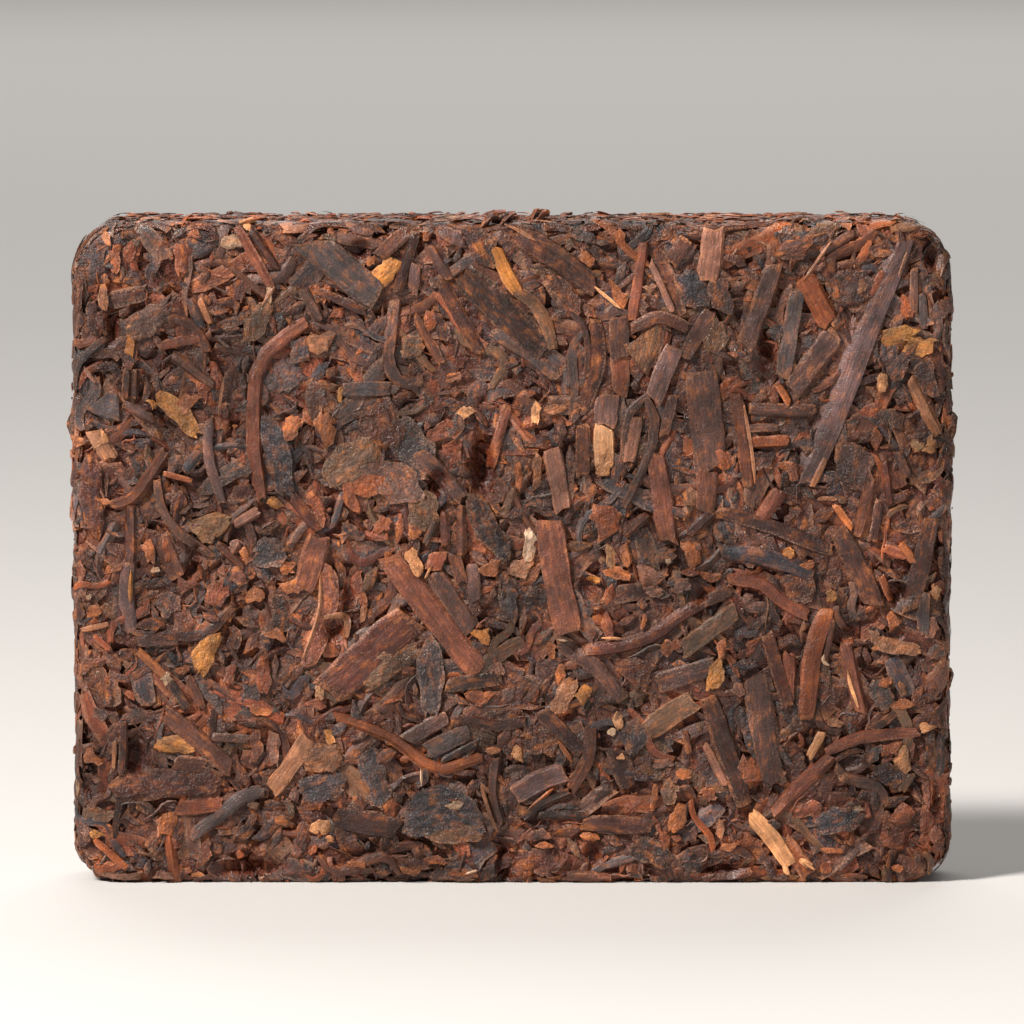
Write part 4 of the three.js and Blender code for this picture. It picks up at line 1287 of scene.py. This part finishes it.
# %% Pieces listed one by one
def on_face(side, places):
    """A smooth path on one broad face, from places in the lists."""
    places = np.array(places) * FACE_SCALE + (0, FACE_SHIFT)
    if side == BACK:
        places[:, 1] = HEIGHT - places[:, 1]
    return smooth_path(places)


def varied(tone, amount=0.08):
    """A tone with a little of its own lightness and warmth."""
    light = 1 + random.normal(0, amount)
    warmth = random.normal(0, amount / 2)
    return np.array(tone) * light * np.array([1 + warmth, 1, 1 - warmth])


def hand_stalk(side, tone, width, *places):
    return Piece(
        side, on_face(side, places), width, min(0.66 * width, 1.6), varied(TONES[tone]),
        proud=random.uniform(0.1, 0.26), pointed=0.05, ridged=0.055, jag=0.28,
        roll=random.normal(0, 0.06), twist=random.normal(0, 0.12), crumple=0.05,
        slant=tuple(random.normal(0, 0.35, 2)), fresh=random.uniform(0, 0.3), squeeze=0.3,
        flattened=0.8,
    )


def hand_stem(side, tone, width, *places):
    return Piece(
        side, on_face(side, places), width, 0.9 * width, varied(TONES[tone]),
        proud=random.uniform(0.12, 0.26), pointed=0.09, ridged=0.07, jag=0.2,
        roll=random.normal(0, 0.3), crumple=0.03, slant=tuple(random.normal(0, 0.4, 2)),
        fresh=random.uniform(0, 0.3), squeeze=0.1 + 0.07 * width, flattened=0.45 + 0.13 * width,
    )


def hand_leaf(side, tone, width, *places):
    return Piece(
        side, on_face(side, places), width, 0.8, varied(TONES[tone]),
        proud=random.uniform(0.06, 0.22), pointed=0.24, ridged=0.16, jag=0.5,
        roll=random.normal(0, 0.06), twist=random.normal(0, 0.2),
        curl=random.normal(0, 0.08), crumple=0.26, slant=tuple(random.normal(0, 0.4, 2)),
        fresh=0.1, squeeze=0.3,
    )


def hand_patch(side, tone, across, up, width, height):
    """A chip or bud, which follows the longer way of its patch, a little askew."""
    broad, long = min(width, height), max(width, height)
    angle = random.normal(0, 0.4 * broad / long)
    if height > width:
        angle += math.pi / 2
    reach = np.array([math.cos(angle), math.sin(angle)]) * long / 2
    spot = np.array([across, up])
    return Piece(
        side, on_face(side, [spot - reach, spot + reach]), broad * 1.1, min(0.5 * broad, 0.8),
        varied(TONES[tone]), proud=random.uniform(0.1, 0.24), pointed=random.uniform(0.04, 0.2),
        ridged=0.24, jag=0.24 * broad, roll=random.normal(0, 0.15), crumple=0.18,
        slant=tuple(random.normal(0, 0.6, 2)), fresh=0.1, squeeze=0.14,
    )


def hand_fibre(side, tone, width, *places):
    return Piece(
        side, on_face(side, places), width, 0.8 * width, varied(TONES[tone]),
        proud=0.32, pointed=0.3, fresh=0.0, squeeze=0.05, flattened=0.6,
    )


def on_both_faces(maker, entries):
    return [maker(side, *entry) for side in (FRONT, BACK) for entry in entries]


stalk_pieces = on_both_faces(hand_stalk, STALKS)
stem_pieces = on_both_faces(hand_stem, STEMS)
leaf_pieces = on_both_faces(hand_leaf, LEAVES)
patch_pieces = on_both_faces(hand_patch, PATCHES)
fibre_pieces = on_both_faces(hand_fibre, FIBRES)

# %% [markdown]
# A few bits stick out of the rim, most of them over the middle of the top edge. They stay
# inside the loose edge that the frame's box allows for.

# %% Bits that stand out of the rim
# Each bit: side, tone, width, how far it stands out, and its places across and along the side
RIM_BITS = [
    (TOP, "maroon", 1.3, 1.0, (-3.3, -5.6), (-1.6, -5.2)),
    (TOP, "red", 0.9, 1.25, (-2.9, -5.0), (-0.8, -5.4)),
    (TOP, "brick", 0.8, 1.0, (-1.2, -5.6), (0.4, -4.8)),
    (TOP, "dark", 1.2, 0.9, (-2.6, -3.6), (0.2, -4.0)),
    (TOP, "rust", 0.6, 1.3, (2.0, -5.6), (2.9, -5.0)),
    (TOP, "red", 0.7, 1.35, (2.8, -5.2), (4.0, -5.6)),
    (TOP, "brick", 0.5, 1.1, (3.4, -4.6), (4.2, -5.2)),
    (TOP, "tan", 0.3, 1.15, (1.6, -4.4), (3.8, -4.2)),
    (TOP, "red", 0.8, 0.8, (-4, -2.6), (-1.6, -1)),
    (TOP, "dark", 0.9, 0.7, (1.4, -1.8), (4, 0.4)),
    (TOP, "rust", 1.0, 0.6, (-37.2, -5.4), (-36.2, -4.4)),
    (TOP, "maroon", 0.6, 0.5, (-36.2, -3.6), (-35, -2.2)),
    (TOP, "pale", 0.7, 0.3, (-31.2, -5.6), (-28.8, -5.2)),
    (TOP, "brown", 0.9, 0.45, (31, -5.2), (33, -4.6)),
    (TOP, "red", 0.7, 0.35, (38.6, -5.4), (40.6, -4.9)),
    (LEFT, "dark", 2.0, 0.55, (4.2, 49), (4.6, 53.6)),
    (LEFT, "black", 1.0, 0.5, (1.4, 50), (2.4, 52.8)),
    (RIGHT, "dark", 1.4, 0.5, (-3.6, 49.8), (-2.8, 53.4)),
    (RIGHT, "brown", 0.9, 0.35, (-5, 22), (-4.4, 24.2)),
]


def rim_bit(side, tone, width, proud, *places):
    return Piece(
        side, smooth_path(places), width, 0.8 * width, varied(TONES[tone]), proud=proud,
        dip=(proud + 0.3, random.uniform(0, 0.3)), pointed=0.15, ridged=0.2, jag=0.3,
        roll=random.normal(0, 0.3), crumple=0.1, squeeze=0.05, flattened=0.9,
    )


patch_pieces.extend(rim_bit(*entry) for entry in RIM_BITS)

# %% [markdown]
# ## The rest of the tea, by rule
#
# Between the listed pieces, and on all the other sides, the tea follows a rule: each kind
# is spread evenly over a side, the broad ones lower and the small ones higher, and its tones
# come in the shares that the real brick shows. On the thin sides the pieces lie mostly along
# the brick, because the press laid them flat.

# %% Shares of the tones
# Blue and slate stand partly for a painted sheen of the sky on the dark leaves
DARK_MIX = {
    "black": 6, "blue": 14, "slate": 15, "purple": 22, "grey": 6, "dark": 18, "maroon": 10,
    "brown": 20, "red": 8, "brick": 2, "olive": 5, "straw": 1, "rust": 3,
}
BRIGHT_MIX = {
    "blue": 8, "slate": 12, "purple": 19, "grey": 8, "dark": 13, "maroon": 9, "brown": 20,
    "red": 10, "brick": 5, "olive": 6, "straw": 3, "tan": 3, "pink": 3, "orange": 2.2,
    "rust": 6, "gold": 0.7, "pale": 0.6, "white": 0.2,
}
# The rim of the top is rough and reddish
RIM_MIX = {"red": 4, "brick": 4, "rust": 3, "tan": 3, "pink": 2, "brown": 3, "maroon": 2}
# On the broad faces the lists already hold the bright bits
BRIGHT_TONES = {"tan", "pink", "orange", "gold", "pale", "white", "straw", "brick"}


def picked_tone(mix, side):
    """A tone by its share, without the bright ones on the broad faces."""
    names = [name for name in mix if side not in (FRONT, BACK) or name not in BRIGHT_TONES]
    shares = np.array([mix[name] for name in names], float)
    return varied(TONES[random.choice(names, p=shares / shares.sum())], 0.14)


# %% Even spread over a side
def even_places(side, spacing):
    """One place in each cell of an even grid over a side, shifted a little at random."""
    low_across, high_across, low_along, high_along = SIDE_REACH[side]
    columns = max(1, round((high_across - low_across) / spacing))
    rows = max(1, round((high_along - low_along) / spacing))
    places = []
    for row in range(rows):
        for index in range(columns):
            shift = random.uniform(-0.42, 0.42, 2)
            across = low_across + (high_across - low_across) * (index + 0.5 + shift[0]) / columns
            along = low_along + (high_along - low_along) * (row + 0.5 + shift[1]) / rows
            places.append((across, along))
    random.shuffle(places)
    return places


def free_angle(side):
    """Any way on the broad faces, and mostly along the brick on the thin sides."""
    if side in (FRONT, BACK):
        return random.uniform(0, math.pi)
    lengthwise = 0 if side in (TOP, BASE) else math.pi / 2
    return lengthwise + random.normal(0, 0.4)


# Pieces that lie on the thin sides are mostly broken shorter
THIN_SIDE_LENGTH = 0.7


def bent_path(side, place, length, bend):
    """A path through a place, with a bend that is a share of its length."""
    angle = free_angle(side)
    if side not in (FRONT, BACK):
        length *= THIN_SIDE_LENGTH
    forward = np.array([math.cos(angle), math.sin(angle)])
    sideways = np.array([-forward[1], forward[0]])
    t = np.linspace(-0.5, 0.5, PATH_POINTS)[:, None]
    bow = bend[0] * (0.25 - t**2) * 4 + bend[1] * np.sin(2 * math.pi * t)
    return np.array(place) + forward * t * length + sideways * bow * length


# %% Kinds of loose pieces
def loose_leaf(side, place):
    length, width = random.uniform(3.4, 8), random.uniform(2.4, 4.6)
    return Piece(
        side, bent_path(side, place, length, random.normal(0, 0.06, 2)), width,
        random.uniform(0.5, 0.9), picked_tone(DARK_MIX, side), proud=random.uniform(-0.62, -0.14),
        dip=tuple(random.uniform(0, 0.5, 2)), pointed=random.uniform(0.12, 0.5), ridged=0.16,
        jag=0.6, roll=random.normal(0, 0.1), twist=random.normal(0, 0.3),
        curl=random.normal(0, 0.15), crumple=0.24, slant=tuple(random.normal(0, 0.4, 2)),
        fresh=0.05,
    )


def loose_stalk(side, place):
    length, width = random.uniform(3.5, 9), random.uniform(1.5, 3.0)
    return Piece(
        side, bent_path(side, place, length, random.normal(0, 0.025, 2)), width,
        0.65 * width, picked_tone(BRIGHT_MIX, side), proud=random.uniform(-0.45, 0.02),
        dip=tuple(random.uniform(0, 0.5, 2)), pointed=0.06, ridged=0.1, jag=0.3,
        roll=random.normal(0, 0.14), twist=random.normal(0, 0.2), crumple=0.06,
        slant=tuple(random.normal(0, 0.4, 2)), fresh=random.uniform(0, 0.3),
    )


def loose_stem(side, place):
    length, width = random.uniform(3, 10), random.uniform(0.8, 1.7)
    return Piece(
        side, bent_path(side, place, length, random.normal(0, 0.09, 2)), width,
        0.9 * width, picked_tone(BRIGHT_MIX, side), proud=random.uniform(-0.4, 0.06),
        dip=tuple(random.uniform(0, 0.6, 2)), pointed=0.09, jag=0.2,
        roll=random.normal(0, 0.3), crumple=0.04, slant=tuple(random.normal(0, 0.4, 2)),
        fresh=random.uniform(0, 0.3), squeeze=0.2, flattened=0.66,
    )


def loose_curl(side, place):
    length, width = random.uniform(1.8, 5), random.uniform(0.8, 2.1)
    return Piece(
        side, bent_path(side, place, length, random.normal(0, 0.12, 2)), width,
        random.uniform(0.5, 0.9), picked_tone(DARK_MIX, side), proud=random.uniform(-0.42, -0.02),
        dip=tuple(random.uniform(0, 0.5, 2)), pointed=random.uniform(0.12, 0.5), ridged=0.16,
        jag=0.35, roll=random.normal(0, 0.25), twist=random.normal(0, 0.6),
        curl=random.normal(0, 0.35), crumple=0.16, slant=tuple(random.normal(0, 0.5, 2)),
        fresh=0.1,
    )


def loose_chip(side, place):
    length, width = random.uniform(1, 3.4), random.uniform(0.55, 1.5)
    return Piece(
        side, bent_path(side, place, length, (0, 0)), width, random.uniform(0.4, 0.8),
        picked_tone(BRIGHT_MIX, side), proud=random.uniform(-0.36, 0.04),
        dip=tuple(random.uniform(0, 0.3, 2)), pointed=0.0, ridged=0.2, jag=0.15,
        roll=random.normal(0, 0.3), slant=tuple(random.normal(0, 0.5, 2)), fresh=0.1,
        squeeze=0.16,
    )


def loose_fibre(side, place):
    length, width = random.uniform(1.5, 5), random.uniform(0.16, 0.36)
    return Piece(
        side, bent_path(side, place, length, random.normal(0, 0.1, 2)), width, 0.8 * width,
        picked_tone(BRIGHT_MIX, side), proud=random.uniform(-0.25, 0.1),
        dip=tuple(random.uniform(0, 0.4, 2)), pointed=0.3, fresh=0.0, squeeze=0.04,
    )


def rim_fibre(side, place):
    """A reddish splinter of the rough rim."""
    length, width = random.uniform(0.8, 3.6), random.uniform(0.24, 0.6)
    return Piece(
        side, bent_path(side, place, length, random.normal(0, 0.1, 2)), width, 0.7 * width,
        picked_tone(RIM_MIX, side), proud=random.uniform(0.0, 0.36),
        dip=tuple(random.uniform(0, 0.4, 2)), pointed=0.2, ridged=0.2, fresh=0.2, squeeze=0.04,
    )


def loose_crumb(side, place):
    size = random.uniform(0.2, 0.55)
    return Piece(
        side, bent_path(side, place, size * random.uniform(1, 2.2), (0, 0)), size,
        0.7 * size, picked_tone(BRIGHT_MIX, side), proud=random.uniform(-0.4, 0.04),
        pointed=0.0, ridged=0.25, jag=0.0, fresh=0.0, squeeze=0.03,
    )


# %% Spread each kind over the six sides
# Each kind: its maker, the list it joins, and the spacing in mm of its even grid
curl_pieces, small_stems, small_stalks, small_leaves = [], [], [], []
chip_pieces, crumb_pieces, small_fibres = [], [], []
SPREADS = [
    (loose_leaf, small_leaves, 5.0),
    (loose_stalk, small_stalks, 5.0),
    (loose_stem, small_stems, 4.4),
    (loose_curl, curl_pieces, 3.3),
    (loose_chip, chip_pieces, 2.6),
    (loose_fibre, small_fibres, 4.6),
    (loose_crumb, crumb_pieces, 2.7),
]
for maker, pieces, spacing in SPREADS:
    for side in SIDE_REACH:
        pieces.extend(maker(side, place) for place in even_places(side, spacing))
    print(f"{maker.__name__}: {len(pieces)} pieces")
RIM_SPACING = 1.9
small_fibres.extend(rim_fibre(TOP, place) for place in even_places(TOP, RIM_SPACING))

# %% [markdown]
# ## The core
#
# Deep in the gaps the real brick shows dark dust and flakes too fine to see, all in shade. A cube
# is subdivided into a fine grid and pressed to a little under the pieces, with a relief of small
# flakes, so that no gap shows through to the other side. The whole core counts as deep, so its
# colour is the dark dust with painted shade.

# %% Core
CORE_CUTS = 64
CORE_DEPTH = 0.85
CORE_RELIEF = 0.4
FLAKE_SIZE = 2.2
DUST_SIZE = 0.9


def core_batch():
    """The core's corners, triangles and marks, in the same form as a batch of pieces."""
    start_alone()
    bpy.ops.mesh.primitive_cube_add(size=2)
    bpy.ops.object.mode_set(mode="EDIT")
    bpy.ops.mesh.select_all(action="SELECT")
    bpy.ops.mesh.subdivide(number_cuts=CORE_CUTS)
    block = read_master(0)
    points = np.column_stack([
        (block.along - 0.5) * WIDTH,
        block.across * THICKNESS / 2,
        (block.up + 1) * HEIGHT / 2,
    ])
    relief = waves(points, FLAKE_SIZE, 11) * 0.6 + waves(points, DUST_SIZE, 12) * 0.4
    points, _, _ = press(points, CORE_RELIEF * relief - CORE_DEPTH, 1)
    corners = len(points)
    return {
        "points": points,
        "triangles": block.triangles,
        "grain": points,
        "wear_and_highlight": np.zeros((corners, 3)),
        # The whole core counts as deep, so the dust colour paints shade over all of it
        "depth": np.full(corners, CORE_DEPTH),
        "tone": np.tile([*TONES["dark"], 0.0], (corners, 1)),
    }


core = joined_mesh("core", [core_batch()], looks["pressed core"])
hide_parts(BRICK_NODE)

# %% Lay and press every kind
kinds = {
    "split_stalks": ("split stalk", [(fine_stalk, stalk_pieces), (stalk, small_stalks)]),
    "stems": ("dried stem", [(fine_stem, stem_pieces), (stem, small_stems)]),
    "leaves": ("curled leaf", [(fine_leaf, leaf_pieces), (leaf, small_leaves)]),
    "curled_leaves": ("curled leaf", [(leaf, curl_pieces)]),
    "chips": ("broken chip", [(leaf, patch_pieces), (chip, chip_pieces)]),
    "fibres": ("dried stem", [(fibre, fibre_pieces + small_fibres)]),
    "crumbs": ("tea crumbs", [(crumb, crumb_pieces)]),
}
tea = [core]
for name, (look, heaps) in kinds.items():
    batches = [lay(master, pieces) for master, pieces in heaps]
    tea.append(joined_mesh(name, batches, looks[look]))
for piece in tea:
    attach(piece, BODY)

# %% [markdown]
# ## Floor, light and camera
#
# The brick stands on a plain pale floor that runs out of the picture. A soft light from the
# upper left and front shows the relief, a weaker and broader one fills the right, a very broad
# one from behind lights the floor, and a pale world keeps the gaps from going black.

# %% Floor
start_alone()
bpy.ops.mesh.primitive_plane_add(size=30)
floor = bpy.context.object
floor.name = "floor"
floor_paint = bpy.data.materials.new("pale floor")
floor_paint.use_nodes = True
floor_shader = floor_paint.node_tree.nodes["Principled BSDF"]
floor_shader.inputs["Base Color"].default_value = (0.62, 0.61, 0.6, 1)
floor_shader.inputs["Roughness"].default_value = 0.9
floor.data.materials.append(floor_paint)


# %% Lights
def soft_light(name, place, target, size, watts, colour=(1, 1, 1)):
    """A square soft light that faces a point."""
    lamp = bpy.data.lights.new(name, "AREA")
    lamp.shape = "SQUARE"
    lamp.size = size
    lamp.energy = watts
    lamp.color = colour
    light = bpy.data.objects.new(name, lamp)
    bpy.context.collection.objects.link(light)
    light.location = place
    light.rotation_euler = (target - light.location).to_track_quat("-Z", "Y").to_euler()
    return light


middle = (low + high) / 2
soft_light("key light", (-0.5, -0.42, 0.66), middle, 0.18, 14.1, (1, 0.95, 0.89))
soft_light("fill light", (0.8, -0.8, 0.3), middle, 0.7, 1.0)
soft_light("back light", (0, 2.6, 2.4), middle, 2.6, 60, (1, 0.98, 0.95))

world = bpy.data.worlds.new("studio")
bpy.context.scene.world = world
world.use_nodes = True
sky = world.node_tree.nodes["Background"]
sky.inputs["Color"].default_value = (1, 0.95, 0.9, 1)
sky.inputs["Strength"].default_value = 0.15

# %% Camera
# The photo was taken from a little above, square to the shown face
VIEW_DISTANCE = 0.9
VIEW_HEIGHT = 0.1287
AIM_HEIGHT = 0.0424
SENSOR = 36.0
PIXELS_PER_MM = 8.88
PICTURE_PIXELS = 1024

lens = bpy.data.cameras.new("camera")
lens.sensor_width = SENSOR
lens.lens = PIXELS_PER_MM / MM * VIEW_DISTANCE * SENSOR / PICTURE_PIXELS
camera = bpy.data.objects.new("camera", lens)
bpy.context.collection.objects.link(camera)
face = -THICKNESS / 2 * MM
camera.location = (0, face - VIEW_DISTANCE, VIEW_HEIGHT)
camera.rotation_euler = (math.pi / 2 - math.atan2(VIEW_HEIGHT - AIM_HEIGHT, VIEW_DISTANCE), 0, 0)
bpy.context.scene.camera = camera
bpy.context.scene.view_settings.view_transform = "Standard"
